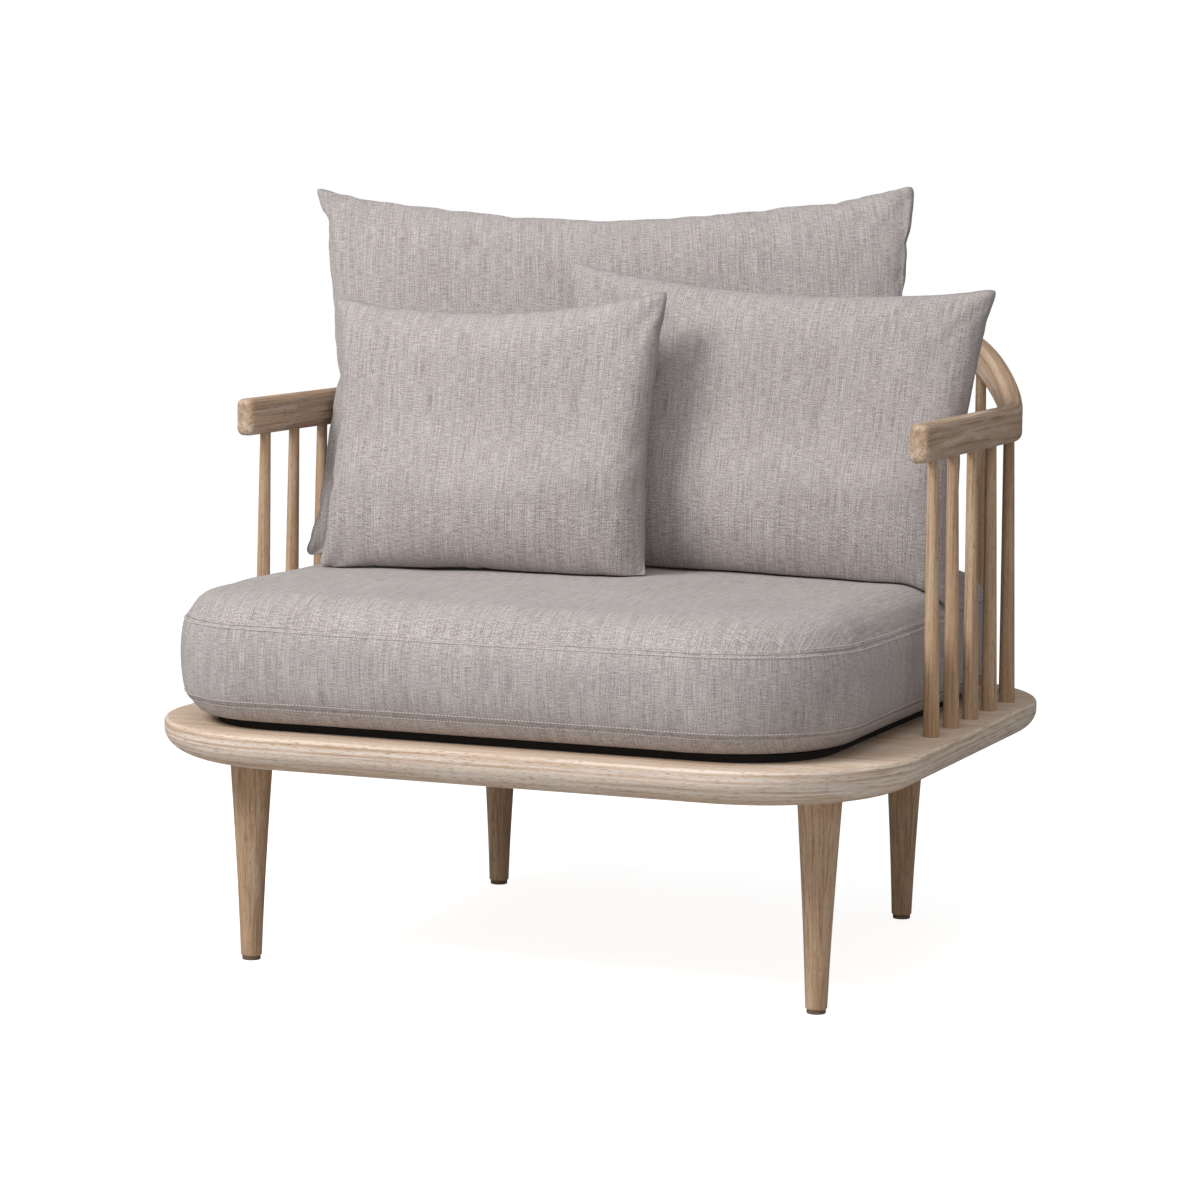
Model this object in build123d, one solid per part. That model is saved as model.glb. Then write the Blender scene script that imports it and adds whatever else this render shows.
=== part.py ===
from build123d import *
from dataclasses import dataclass
from math import ceil, cos, degrees, pi, radians, sin
import os

# Lounge armchair: a laminated oak deck on four turned legs, a fence of turned spindles that carries a
# bent rail round both arms and the back, and four loose cushions.
# Millimetres. The origin is on the floor under the middle of the deck, +X is to the right of a person
# who faces the chair, +Y goes to the back and +Z up. Left and right are that person's.

# ---- deck ----
DECK_WIDTH = 870.0
DECK_DEPTH = 800.0
DECK_THICKNESS = 42.0
DECK_FRONT_RADIUS = 185.0
DECK_BACK_RADIUS = 187.0
DECK_UNDERCUT = 50.0      # how far the rounded edge runs in under the board
DECK_NOSE = 7.0           # height of the band between the rounded underside and the top edge's round
DECK_TOP_ROUND = 5.0

# ---- legs, their fastenings and feet ----
LEG_LENGTH = 236.0        # floor to the deck's underside
LEG_TOP_RADIUS = 24.5
LEG_FOOT_RADIUS = 11.8
LEG_FLARE = 1.25          # over 1: the leg widens faster towards its top
LEG_FOOT_CHAMFER = 2.0
LEG_KNOTS = (0.35, 0.7)    # shares of the height where the flank's curve is pinned
FRONT_LEG_FROM_SIDE = 101.0
FRONT_LEG_FROM_FRONT = 155.0
BACK_LEG_FROM_SIDE = 174.0
BACK_LEG_FROM_BACK = 110.0
GLIDE_THICKNESS = 4.0
GLIDE_EDGE = 1.5          # the glide is this much smaller in radius than the foot
GLIDE_ROUND = 1.0
GLIDE_PEG_RADIUS = 2.5
GLIDE_PEG_LENGTH = 14.0
STUD_RADIUS = 4.0
STUD_IN_LEG = 45.0
STUD_IN_DECK = 20.0
INSERT_WALL = 3.0
INSERT_LENGTH = 22.0

# ---- spindles ----
SPINDLES_PER_SIDE = 11
SPINDLE_INSET = 30.5      # from the deck's edge to the spindles' line, on the deck's top
FIRST_SPINDLE_FROM_FRONT = 321.0
SPINDLE_BASE_RADIUS = 9.0
SPINDLE_TIP_RADIUS = 6.0
TENON_RADIUS = 6.5
TENON_LENGTH = 20.0
TIP_IN_RAIL = 15.0
FOOT_TRIM = 60.0          # side of the block that trims a spindle's slanting foot level

# ---- rail ----
RAIL_INSET = 35.0         # from the deck's edge to the rail's centreline
RAIL_WIDTH = 22.0
RAIL_HEIGHT = 42.0
RAIL_ROUND = 8.0
RAIL_END_ROUND = 7.0
ARM_OVERHANG = 55.0       # arm in front of the first spindle
ARM_TOP_OVER_DECK = 342.5
BACK_RISE = 81.5          # back of the rail above the arms
RISE_STARTS = 8.0         # degrees round the corner
RISE_ENDS = 75.0
SCARF_SHARE = 0.522       # of a spindle spacing, from the first spindle round the corner to the joint
ARM_BEND_SECTIONS = 4
BACK_BEND_SECTIONS = 10
DOWEL_RADIUS = 4.0
DOWEL_LENGTH = 40.0
DOWEL_SPACING = 18.0

# ---- loose cushions ----
UNDERLAY_THICKNESS = 8.0
UNDERLAY_INSET = 30.0     # from the seat cushion's outline
SEAT_THICKNESS = 138.0
SEAT_SETBACK = 22.0       # behind the deck's front edge
SEAT_SIDE_GAP = 10.0      # to the spindles on each side, when it lies in the middle
SEAT_SHIFT = -8.0         # it lies nearer the left-hand spindles
SEAT_BACK_GAP = 15.0
SEAT_FRONT_RADIUS = 135.0
SEAT_BACK_RADIUS = 135.0
SEAT_TOP_ROUND = 30.0
SEAT_BOTTOM_ROUND = 15.0
SEAT_ZIP_LENGTH = 420.0
COVER_THICKNESS = 1.5
SEAM_BAND = 12.0          # width of doubled cloth round a knife edge
ZIP_WIDTH = 9.0
ZIP_DEPTH = 6.0           # of the block that cuts the seat cushion's zip out of its cover
FLAT_HOLLOW = 0.25        # hollow of a loose cushion's flat, as a share of its seam's

# ---- clearances ----
GLUE_GAP = 0.1            # round tenons, tips and dowels
THREAD_GAP = 0.05
FILLING_GAP = 0.3         # filling inside its cover
CUSHION_GAP = 0.5         # between a cushion and what it rests on

LEG_FOOT_Z = GLIDE_THICKNESS
DECK_TOP = LEG_LENGTH + DECK_THICKNESS
CORNER_X = DECK_WIDTH / 2 - DECK_BACK_RADIUS
CORNER_Y = DECK_DEPTH / 2 - DECK_BACK_RADIUS
FIRST_SPINDLE_Y = FIRST_SPINDLE_FROM_FRONT - DECK_DEPTH / 2
ARM_Z = DECK_TOP + ARM_TOP_OVER_DECK - RAIL_HEIGHT / 2
SEAT_BOTTOM = DECK_TOP + UNDERLAY_THICKNESS + CUSHION_GAP
SEAT_TOP = SEAT_BOTTOM + SEAT_THICKNESS
SEAT_WIDTH = DECK_WIDTH - 2 * (SPINDLE_INSET + SPINDLE_BASE_RADIUS + SEAT_SIDE_GAP)
SEAT_FRONT = SEAT_SETBACK - DECK_DEPTH / 2
SEAT_BACK = DECK_DEPTH / 2 - SPINDLE_INSET - SPINDLE_BASE_RADIUS - SEAT_BACK_GAP
SEAT_DEPTH = SEAT_BACK - SEAT_FRONT
SEAT_MIDDLE_Y = (SEAT_BACK + SEAT_FRONT) / 2
DOWN = (Align.CENTER, Align.CENTER, Align.MAX)
UP = (Align.CENTER, Align.CENTER, Align.MIN)

os.makedirs("parts", exist_ok=True)


def save(name, piece):
    """Write one sub-part as its own STEP file."""
    export_step(piece, f"parts/{name}.step")


def rounded_plan(width, depth, front_radius, back_radius):
    """Rectangle about the origin with one radius on its front corners and one on its back corners."""
    plan = Rectangle(width, depth)
    plan = fillet(plan.vertices().group_by(Axis.Y)[0], front_radius)
    return fillet(plan.vertices().group_by(Axis.Y)[-1], back_radius)


# ---- deck, legs and fastenings ----

def deck_blank():
    """Board with a rounded top edge and an underside that curves up to it in a quarter ellipse."""
    inner = rounded_plan(
        DECK_WIDTH - 2 * DECK_UNDERCUT,
        DECK_DEPTH - 2 * DECK_UNDERCUT,
        DECK_FRONT_RADIUS - DECK_UNDERCUT,
        DECK_BACK_RADIUS - DECK_UNDERCUT,
    )
    core = extrude(inner, DECK_THICKNESS)
    belly = DECK_THICKNESS - DECK_TOP_ROUND - DECK_NOSE
    side = Plane(origin=(0, -DECK_DEPTH / 2, 0), x_dir=(0, -1, 0), z_dir=(-1, 0, 0))
    curve = EllipticalCenterArc((-DECK_UNDERCUT, belly), DECK_UNDERCUT, belly, start_angle=-90, arc_size=90)
    lip = Line((0, belly), (0, belly + DECK_NOSE))
    top_round = RadiusArc((0, belly + DECK_NOSE), (-DECK_TOP_ROUND, DECK_THICKNESS), -DECK_TOP_ROUND)
    rest = Polyline((-DECK_TOP_ROUND, DECK_THICKNESS), (-DECK_UNDERCUT, DECK_THICKNESS), (-DECK_UNDERCUT, 0))
    profile = make_face(curve + lip + top_round + rest)
    outline = rounded_plan(DECK_WIDTH, DECK_DEPTH, DECK_FRONT_RADIUS, DECK_BACK_RADIUS)
    rim = sweep(side * profile, path=outline.wire())
    return Pos(0, 0, LEG_LENGTH) * (core + rim)


def leg_places():
    """Name and plan position of each leg."""
    front_x = DECK_WIDTH / 2 - FRONT_LEG_FROM_SIDE
    back_x = DECK_WIDTH / 2 - BACK_LEG_FROM_SIDE
    front_y = FRONT_LEG_FROM_FRONT - DECK_DEPTH / 2
    back_y = DECK_DEPTH / 2 - BACK_LEG_FROM_BACK
    return {
        "front_right": (front_x, front_y),
        "front_left": (-front_x, front_y),
        "back_right": (back_x, back_y),
        "back_left": (-back_x, back_y),
    }


def leg_radius(share):
    """Radius of the turned leg at a share of its height above the foot."""
    return LEG_FOOT_RADIUS + (LEG_TOP_RADIUS - LEG_FOOT_RADIUS) * share ** LEG_FLARE


def turned_leg():
    """Round leg, slightly hollow in its taper, bored for its stud and its glide."""
    height = LEG_LENGTH - LEG_FOOT_Z
    shares = [LEG_FOOT_CHAMFER / height, *LEG_KNOTS, 1.0]
    flank = Spline(*[(leg_radius(share), 0, LEG_FOOT_Z + share * height) for share in shares])
    foot = Polyline((0, 0, LEG_FOOT_Z), (LEG_FOOT_RADIUS - LEG_FOOT_CHAMFER, 0, LEG_FOOT_Z), flank @ 0)
    top = Polyline(flank @ 1, (0, 0, LEG_LENGTH), (0, 0, LEG_FOOT_Z))
    body = revolve(make_face(foot + flank + top), Axis.Z)
    stud_bore = Pos(0, 0, LEG_LENGTH) * Cylinder(STUD_RADIUS + THREAD_GAP, STUD_IN_LEG, align=DOWN)
    peg_bore = Pos(0, 0, LEG_FOOT_Z) * Cylinder(GLIDE_PEG_RADIUS + GLUE_GAP, GLIDE_PEG_LENGTH, align=UP)
    return body - stud_bore - peg_bore


def glide():
    """Nylon disc under a foot, with a peg that is pushed up into the leg."""
    disc = Cylinder(LEG_FOOT_RADIUS - GLIDE_EDGE, GLIDE_THICKNESS, align=UP)
    disc = fillet(disc.edges().group_by(Axis.Z)[0], GLIDE_ROUND)
    peg = Pos(0, 0, GLIDE_THICKNESS) * Cylinder(GLIDE_PEG_RADIUS, GLIDE_PEG_LENGTH, align=UP)
    return disc + peg


def leg_stud():
    """Threaded steel stud that joins a leg to the insert in the deck."""
    length = STUD_IN_LEG + STUD_IN_DECK
    return Pos(0, 0, LEG_LENGTH - STUD_IN_LEG) * Cylinder(STUD_RADIUS, length, align=UP)


def deck_insert():
    """Threaded brass sleeve let into the deck's underside."""
    bore = STUD_RADIUS + THREAD_GAP
    sleeve = Cylinder(bore + INSERT_WALL, INSERT_LENGTH, align=UP) - Cylinder(bore, INSERT_LENGTH, align=UP)
    return Pos(0, 0, LEG_LENGTH) * sleeve


def insert_bore():
    """Blind hole in the deck for one insert."""
    radius = STUD_RADIUS + INSERT_WALL + 2 * THREAD_GAP
    return Pos(0, 0, LEG_LENGTH) * Cylinder(radius, INSERT_LENGTH, align=UP)


# ---- spindles and rail ----

def side_length():
    """Straight stretch of the spindles' line, from the first spindle to the back corner."""
    return CORNER_Y - FIRST_SPINDLE_Y


def spindle_pitch():
    """Even spacing along the line, with half a space left at the middle of the back."""
    corner = pi / 2 * (DECK_BACK_RADIUS - SPINDLE_INSET)
    return (side_length() + corner + CORNER_X) / (SPINDLES_PER_SIDE - 0.5)


def line_point(inset, station):
    """Plan point and angle round the corner, for a distance along the spindles' line from the first."""
    radius = DECK_BACK_RADIUS - inset
    beyond = station - side_length()
    if beyond <= 0:
        return CORNER_X + radius, FIRST_SPINDLE_Y + station, 0.0
    angle = beyond / (DECK_BACK_RADIUS - SPINDLE_INSET)
    if angle <= pi / 2:
        return CORNER_X + radius * cos(angle), CORNER_Y + radius * sin(angle), angle
    past = beyond - pi / 2 * (DECK_BACK_RADIUS - SPINDLE_INSET)
    return CORNER_X - past, CORNER_Y + radius, pi / 2


def scarf_angle():
    """Degrees round the corner where an arm meets the back piece, always between two spindles."""
    spindles_before = ceil(side_length() / spindle_pitch())
    station = (spindles_before + SCARF_SHARE) * spindle_pitch()
    return degrees((station - side_length()) / (DECK_BACK_RADIUS - SPINDLE_INSET))


def rail_rise(angle):
    """Height of the rail's centreline above the arms, easing in and out as it turns the corner."""
    share = (angle - radians(RISE_STARTS)) / radians(RISE_ENDS - RISE_STARTS)
    share = min(max(share, 0.0), 1.0)
    return BACK_RISE * share * share * (3 - 2 * share)


def rail_slope(angle):
    """Rise per millimetre along the rail."""
    step = radians(1.0)
    change = rail_rise(angle + step) - rail_rise(angle - step)
    return change / (2 * step * (DECK_BACK_RADIUS - RAIL_INSET))


def spindle_line(index):
    """Foot on the deck's top, and end inside the rail, of the right-hand spindle with this index."""
    station = index * spindle_pitch()
    foot_x, foot_y, angle = line_point(SPINDLE_INSET, station)
    tip_x, tip_y, angle = line_point(RAIL_INSET, station)
    tip_z = ARM_Z + rail_rise(angle) - RAIL_HEIGHT / 2 + TIP_IN_RAIL
    return Vector(foot_x, foot_y, DECK_TOP), Vector(tip_x, tip_y, tip_z)


def spindle(index, gap):
    """Tapered spindle with a turned tenon at its foot. A gap above zero gives the hole that it needs."""
    foot, tip = spindle_line(index)
    axis = Plane(origin=foot, z_dir=tip - foot)
    tenon = axis * Cylinder(TENON_RADIUS + gap, TENON_LENGTH, align=DOWN)
    taper = axis * Cone(SPINDLE_BASE_RADIUS + gap, SPINDLE_TIP_RADIUS + gap, (tip - foot).length, align=UP)
    root = axis * Cylinder(SPINDLE_BASE_RADIUS + gap, TENON_RADIUS, align=DOWN)
    below = Pos(foot.X, foot.Y, DECK_TOP) * Box(FOOT_TRIM, FOOT_TRIM, DECK_THICKNESS, align=DOWN)
    shaft = (taper + root) - below
    return shaft + tenon


def rail_section(angle):
    """Rounded section of the rail, upright, at an angle round the right-hand back corner."""
    radius = DECK_BACK_RADIUS - RAIL_INSET
    outward = Vector(cos(angle), sin(angle), 0)
    centre = Vector(CORNER_X, CORNER_Y, ARM_Z + rail_rise(angle)) + outward * radius
    place = Plane(origin=centre, x_dir=outward, z_dir=outward.cross(Vector(0, 0, 1)))
    return place * RectangleRounded(RAIL_WIDTH, RAIL_HEIGHT, RAIL_ROUND)


def rail_bend(first, last, sections):
    """Bent stretch of the rail between two angles in degrees."""
    step = (last - first) / (sections - 1)
    return loft([rail_section(radians(first + step * index)) for index in range(sections)])


def right_arm_blank():
    """Straight arm with a rounded front end, and the start of the bend."""
    length = side_length() + ARM_OVERHANG
    straight = extrude(rail_section(0), length)
    front = straight.faces().sort_by(Axis.Y)[0]
    straight = fillet(front.edges(), RAIL_END_ROUND)
    return straight + rail_bend(0, scarf_angle(), ARM_BEND_SECTIONS)


def back_rail_blank():
    """Back of the rail, straight in the middle, with a bend at each end that comes down to the arms."""
    bend = rail_bend(scarf_angle(), 90, BACK_BEND_SECTIONS)
    middle = extrude(rail_section(pi / 2), 2 * CORNER_X, dir=(-1, 0, 0))
    return middle + bend + mirror(bend, Plane.YZ)


def right_dowels(gap):
    """Two dowels, one above the other, from the right arm into the back piece. A gap gives their holes."""
    angle = radians(scarf_angle())
    radius = DECK_BACK_RADIUS - RAIL_INSET
    along = Vector(-sin(angle), cos(angle), rail_slope(angle))
    x = CORNER_X + radius * cos(angle)
    y = CORNER_Y + radius * sin(angle)
    dowels = []
    for side in (-1, 1):
        z = ARM_Z + rail_rise(angle) + side * DOWEL_SPACING / 2
        dowels.append(Plane(origin=(x, y, z), z_dir=along) * Cylinder(DOWEL_RADIUS + gap, DOWEL_LENGTH))
    return dowels


# ---- cushions ----

def seat_block(inset, bottom, top):
    """Seat cushion's form, drawn in all round by an inset, between two heights."""
    plan = rounded_plan(
        SEAT_WIDTH - 2 * inset,
        SEAT_DEPTH - 2 * inset,
        SEAT_FRONT_RADIUS - inset,
        SEAT_BACK_RADIUS - inset,
    )
    return Pos(SEAT_SHIFT, SEAT_MIDDLE_Y, bottom) * extrude(plan, top - bottom)


def seat_form(inset):
    """Boxed seat cushion with its edges rounded, drawn in by an inset."""
    block = seat_block(inset, SEAT_BOTTOM + inset, SEAT_TOP - inset)
    block = fillet(block.edges().group_by(Axis.Z)[-1], SEAT_TOP_ROUND - inset)
    return fillet(block.edges().group_by(Axis.Z)[0], SEAT_BOTTOM_ROUND - inset)


@dataclass(frozen=True)
class Pillow:
    """Knife-edged loose cushion: its size, its bulge to each side of the seam, and how it leans."""

    name: str
    full_width: float
    width_share: float    # of the seat cushion's width, that it has at most
    height: float
    front: float
    rear: float
    hollow: float         # how far each side draws in between the corners
    bevel: float          # from the seam to the flat of the bulge
    side_share: float     # place to the right of the middle, as a share of the seat cushion's width
    from_back: float      # in front of the seat cushion's back
    yaw: float
    lean: float
    lift: float           # of the bottom corners above the seat cushion
    zip_length: float

    @property
    def width(self):
        """Width between its corners."""
        return min(self.full_width, SEAT_WIDTH * self.width_share)


PILLOWS = [
    Pillow("back_cushion", 700, 0.908, 444, 48, 118, 28, 90, -0.0725, 185.5, 13.0, 14.5, CUSHION_GAP, 360),
    Pillow("right_pillow", 480, 0.623, 344, 55, 25, 24, 75, 0.1855, 259.5, 5.0, 9.0, CUSHION_GAP, 260),
    Pillow("small_pillow", 400, 0.519, 306, 50, 28, 22, 65, -0.1855, 376.0, 3.0, 7.0, CUSHION_GAP, 200),
]


def pillow_plane(pillow):
    """Plane of the seam: x along the width, y up the cushion and z out of its front."""
    yaw = radians(pillow.yaw)
    lean = radians(pillow.lean)
    z = SEAT_TOP + pillow.lift + pillow.height / 2 * cos(lean)
    facing = (sin(yaw) * cos(lean), -cos(yaw) * cos(lean), sin(lean))
    x = SEAT_WIDTH * pillow.side_share
    y = SEAT_BACK - pillow.from_back
    return Plane(origin=(x, y, z), x_dir=(cos(yaw), sin(yaw), 0), z_dir=facing)


def pillow_outline(width, height, hollow):
    """Four-sided outline with sides that draw in between the corners."""
    x = width / 2
    y = height / 2
    bottom = ThreePointArc((-x, -y), (0, hollow - y), (x, -y))
    right = ThreePointArc((x, -y), (x - hollow, 0), (x, y))
    top = ThreePointArc((x, y), (0, y - hollow), (-x, y))
    left = ThreePointArc((-x, y), (hollow - x, 0), (-x, -y))
    return make_face(bottom + right + top + left)


def pillow_form(pillow, band, wall):
    """Solid of the cushion, drawn in by a band at the seam and by a wall at its front and back."""
    plane = pillow_plane(pillow)
    seam = plane * pillow_outline(pillow.width - 2 * band, pillow.height - 2 * band, pillow.hollow)
    flat = pillow_outline(
        pillow.width - 2 * (pillow.bevel + band / 2),
        pillow.height - 2 * (pillow.bevel + band / 2),
        pillow.hollow * FLAT_HOLLOW,
    )
    front = loft([seam, plane.offset(pillow.front - wall) * flat], ruled=True)
    back = loft([seam, plane.offset(wall - pillow.rear) * flat], ruled=True)
    return front + back


def save_cushion(name, outer, hollow, filling, zip_zone):
    """Write a cushion's cover, the zip that is let into it and the filling inside it."""
    wall = outer - hollow
    save(f"{name}_cover", wall - zip_zone)
    save(f"{name}_zip", wall & zip_zone)
    save(f"{name}_filling", filling)


def make_seat():
    """Underlay and seat cushion."""
    save("seat_underlay", seat_block(UNDERLAY_INSET, DECK_TOP, DECK_TOP + UNDERLAY_THICKNESS))
    middle = (SEAT_BOTTOM + SEAT_TOP) / 2
    zone = Pos(SEAT_SHIFT, SEAT_BACK, middle) * Box(SEAT_ZIP_LENGTH, ZIP_DEPTH, ZIP_WIDTH)
    filling = seat_form(COVER_THICKNESS + FILLING_GAP)
    save_cushion("seat_cushion", seat_form(0), seat_form(COVER_THICKNESS), filling, zone)


def make_pillow(pillow):
    """One knife-edged cushion, with its zip along the bottom seam."""
    depth = pillow.hollow + SEAM_BAND
    zone = pillow_plane(pillow) * Pos(0, -pillow.height / 2, 0) * Box(
        pillow.zip_length, 2 * depth, ZIP_WIDTH
    )
    outer = pillow_form(pillow, 0, 0)
    hollow = pillow_form(pillow, SEAM_BAND, COVER_THICKNESS)
    filling = pillow_form(pillow, SEAM_BAND + 2 * FILLING_GAP, COVER_THICKNESS + FILLING_GAP)
    save_cushion(pillow.name, outer, hollow, filling, zone)


def make_frame():
    """Deck, legs and their fastenings."""
    deck = deck_blank()
    for name, (x, y) in leg_places().items():
        save(f"leg_{name}", Pos(x, y) * turned_leg())
        save(f"glide_{name}", Pos(x, y) * glide())
        save(f"leg_stud_{name}", Pos(x, y) * leg_stud())
        save(f"deck_insert_{name}", Pos(x, y) * deck_insert())
        deck = deck - Pos(x, y) * insert_bore()
    for index in range(SPINDLES_PER_SIDE):
        foot, tip = spindle_line(index)
        axis = Plane(origin=foot, z_dir=tip - foot)
        socket = axis * Cylinder(TENON_RADIUS + GLUE_GAP, 2 * TENON_LENGTH)
        deck = deck - socket - mirror(socket, Plane.YZ)
    save("deck", deck)


def make_fence():
    """Spindles, the three pieces of the rail and the dowels between them."""
    right_arm = right_arm_blank()
    back = back_rail_blank()
    for bore in right_dowels(GLUE_GAP):
        right_arm = right_arm - bore
        back = back - bore - mirror(bore, Plane.YZ)
    for index in range(SPINDLES_PER_SIDE):
        right = spindle(index, 0)
        save(f"spindle_right_{index + 1:02d}", right)
        save(f"spindle_left_{index + 1:02d}", mirror(right, Plane.YZ))
        bore = spindle(index, GLUE_GAP)
        angle = line_point(RAIL_INSET, index * spindle_pitch())[2]
        if angle < radians(scarf_angle()):
            right_arm = right_arm - bore
        else:
            back = back - bore - mirror(bore, Plane.YZ)
    save("arm_rail_right", right_arm)
    save("arm_rail_left", mirror(right_arm, Plane.YZ))
    save("back_rail", back)
    save("rail_dowels_right", Compound(children=right_dowels(0)))
    save("rail_dowels_left", Compound(children=[mirror(dowel, Plane.YZ) for dowel in right_dowels(0)]))


make_frame()
make_fence()
make_seat()
for loose in PILLOWS:
    make_pillow(loose)
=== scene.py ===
"""Lounge chair: a laminated oak deck on turned legs, a spindle fence under a bent rail, four loose cushions.

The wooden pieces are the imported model's own nodes, dressed in timber finishes. The seat cushion and the
three loose cushions are sewn and inflated here as cloth, and stand for their plain solids. Metres; +X is to
the right of a person who faces the chair, +Y goes to the back and +Z up.
"""

import logging
import math
from dataclasses import dataclass, field
from enum import Enum

import bpy
import numpy as np
from mathutils import Matrix, Vector, noise
from mathutils.bvhtree import BVHTree


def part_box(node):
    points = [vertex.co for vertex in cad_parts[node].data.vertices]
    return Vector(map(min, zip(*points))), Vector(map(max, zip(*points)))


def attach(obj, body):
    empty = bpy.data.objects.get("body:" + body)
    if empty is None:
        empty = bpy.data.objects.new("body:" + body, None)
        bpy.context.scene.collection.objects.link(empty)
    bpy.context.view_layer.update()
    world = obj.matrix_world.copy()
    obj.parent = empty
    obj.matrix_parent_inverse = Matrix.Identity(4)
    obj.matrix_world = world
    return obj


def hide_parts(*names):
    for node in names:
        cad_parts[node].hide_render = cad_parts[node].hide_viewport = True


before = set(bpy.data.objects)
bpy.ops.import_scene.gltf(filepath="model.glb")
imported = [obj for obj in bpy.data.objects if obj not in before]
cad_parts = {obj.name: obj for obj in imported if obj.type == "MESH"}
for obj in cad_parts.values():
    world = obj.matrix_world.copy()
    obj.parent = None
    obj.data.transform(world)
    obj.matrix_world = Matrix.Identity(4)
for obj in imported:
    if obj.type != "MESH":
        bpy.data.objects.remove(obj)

LOG = logging.getLogger("lounge_chair")
MM = 0.001


# ---------------------------------------------------------------- shared helpers

def linear(colour: str) -> tuple[float, float, float, float]:
    """Turn an sRGB hex colour such as '#c8b096' into the linear values that a socket takes.

    Args:
        colour: the colour as a hash and six hex digits.

    Returns:
        Red, green, blue and an alpha of one.
    """
    channels = [int(colour[at:at + 2], 16) / 255 for at in (1, 3, 5)]
    toned = [c / 12.92 if c <= 0.04045 else ((c + 0.055) / 1.055) ** 2.4 for c in channels]
    return toned[0], toned[1], toned[2], 1.0


def fill_sockets(tree: bpy.types.NodeTree, node: bpy.types.Node, inputs: dict) -> None:
    """Set or link the inputs of a node.

    Args:
        tree: the tree that holds the node.
        node: the node.
        inputs: by socket name or number, a constant or the output socket to link.
    """
    for key, value in inputs.items():
        if isinstance(value, bpy.types.NodeSocket):
            tree.links.new(value, node.inputs[key])
        else:
            node.inputs[key].default_value = value


def add_node(tree: bpy.types.NodeTree, kind: str, inputs: dict | None = None, output: int | str = 0,
             **settings: object) -> bpy.types.NodeSocket:
    """Add a node with its settings and links.

    Args:
        tree: the tree to add to.
        kind: the node's type without its ShaderNode prefix.
        inputs: what fill_sockets takes.
        output: the output to return.
        **settings: the node's own properties.

    Returns:
        The chosen output socket.
    """
    node = tree.nodes.new("ShaderNode" + kind)
    for name, value in settings.items():
        setattr(node, name, value)
    fill_sockets(tree, node, inputs or {})
    return node.outputs[output]


def new_finish(name: str) -> tuple[bpy.types.Material, bpy.types.NodeTree, bpy.types.Node]:
    """Make an empty node material.

    Args:
        name: the material's name.

    Returns:
        The material, its tree and its surface shader.
    """
    material = bpy.data.materials.new(name)
    material.use_nodes = True
    return material, material.node_tree, material.node_tree.nodes["Principled BSDF"]


def dress(node: str, material: bpy.types.Material) -> None:
    """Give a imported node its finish.

    Args:
        node: the node's name.
        material: the finish.
    """
    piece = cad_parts[node]
    piece.data.materials.clear()
    piece.data.materials.append(material)
    LOG.info("%s: %s", node, material.name)


def make_piece(name: str, points: np.ndarray, faces: list, material: bpy.types.Material,
               uv: np.ndarray | None = None, smooth: bool = True) -> bpy.types.Object:
    """Make a mesh piece.

    Args:
        name: the piece's name.
        points: its vertices, metres.
        faces: its faces as vertex numbers.
        material: its finish.
        uv: a place on the flat cloth for each face corner in order, metres.
        smooth: whether it is shaded smooth.

    Returns:
        The new object, linked to the scene.
    """
    mesh = bpy.data.meshes.new(name)
    mesh.from_pydata(np.asarray(points, float).tolist(), [], [list(face) for face in faces])
    mesh.materials.append(material)
    mesh.shade_smooth() if smooth else mesh.shade_flat()
    if uv is not None:
        mesh.uv_layers.new(name="cloth").uv.foreach_set("vector", np.asarray(uv, np.float32).ravel())
    piece = bpy.data.objects.new(name, mesh)
    bpy.context.scene.collection.objects.link(piece)
    return piece


def shape_of(piece: bpy.types.Object) -> np.ndarray:
    """Read the vertices of a mesh, modifiers included.

    Args:
        piece: the object.

    Returns:
        One row of three coordinates for each vertex.
    """
    seen = piece.evaluated_get(bpy.context.evaluated_depsgraph_get())
    points = np.empty(len(seen.data.vertices) * 3)
    seen.data.vertices.foreach_get("co", points)
    return points.reshape(-1, 3)


def tree_of(points: np.ndarray, faces: list) -> BVHTree:
    """Build a search tree over a mesh."""
    return BVHTree.FromPolygons(np.asarray(points, float).tolist(), [list(map(int, f)) for f in faces])


def node_mesh(node: str) -> tuple[np.ndarray, list]:
    """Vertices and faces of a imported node."""
    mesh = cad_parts[node].data
    return np.array([v.co for v in mesh.vertices]), [list(p.vertices) for p in mesh.polygons]


def quads(grid: np.ndarray, flip: bool = False) -> np.ndarray:
    """Faces between the rows and columns of a grid of vertex numbers.

    Args:
        grid: the vertex numbers.
        flip: whether the faces look the other way.

    Returns:
        One row of four vertex numbers for each face.
    """
    corners = [grid[:-1, :-1], grid[1:, :-1], grid[1:, 1:], grid[:-1, 1:]]
    found = np.stack(corners, -1).reshape(-1, 4)
    return found[:, ::-1] if flip else found


def crumple(points: np.ndarray, size: float, seed: float) -> np.ndarray:
    """Smooth seeded noise at each point.

    Args:
        points: where to read it, metres.
        size: the width of a crumple, metres.
        seed: shifts the pattern.

    Returns:
        A value from about -1 to 1 for each point.
    """
    shift = Vector((seed, 1.7 * seed, -0.9 * seed))
    return np.array([noise.noise(Vector(p) / size + shift) for p in points])


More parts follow.
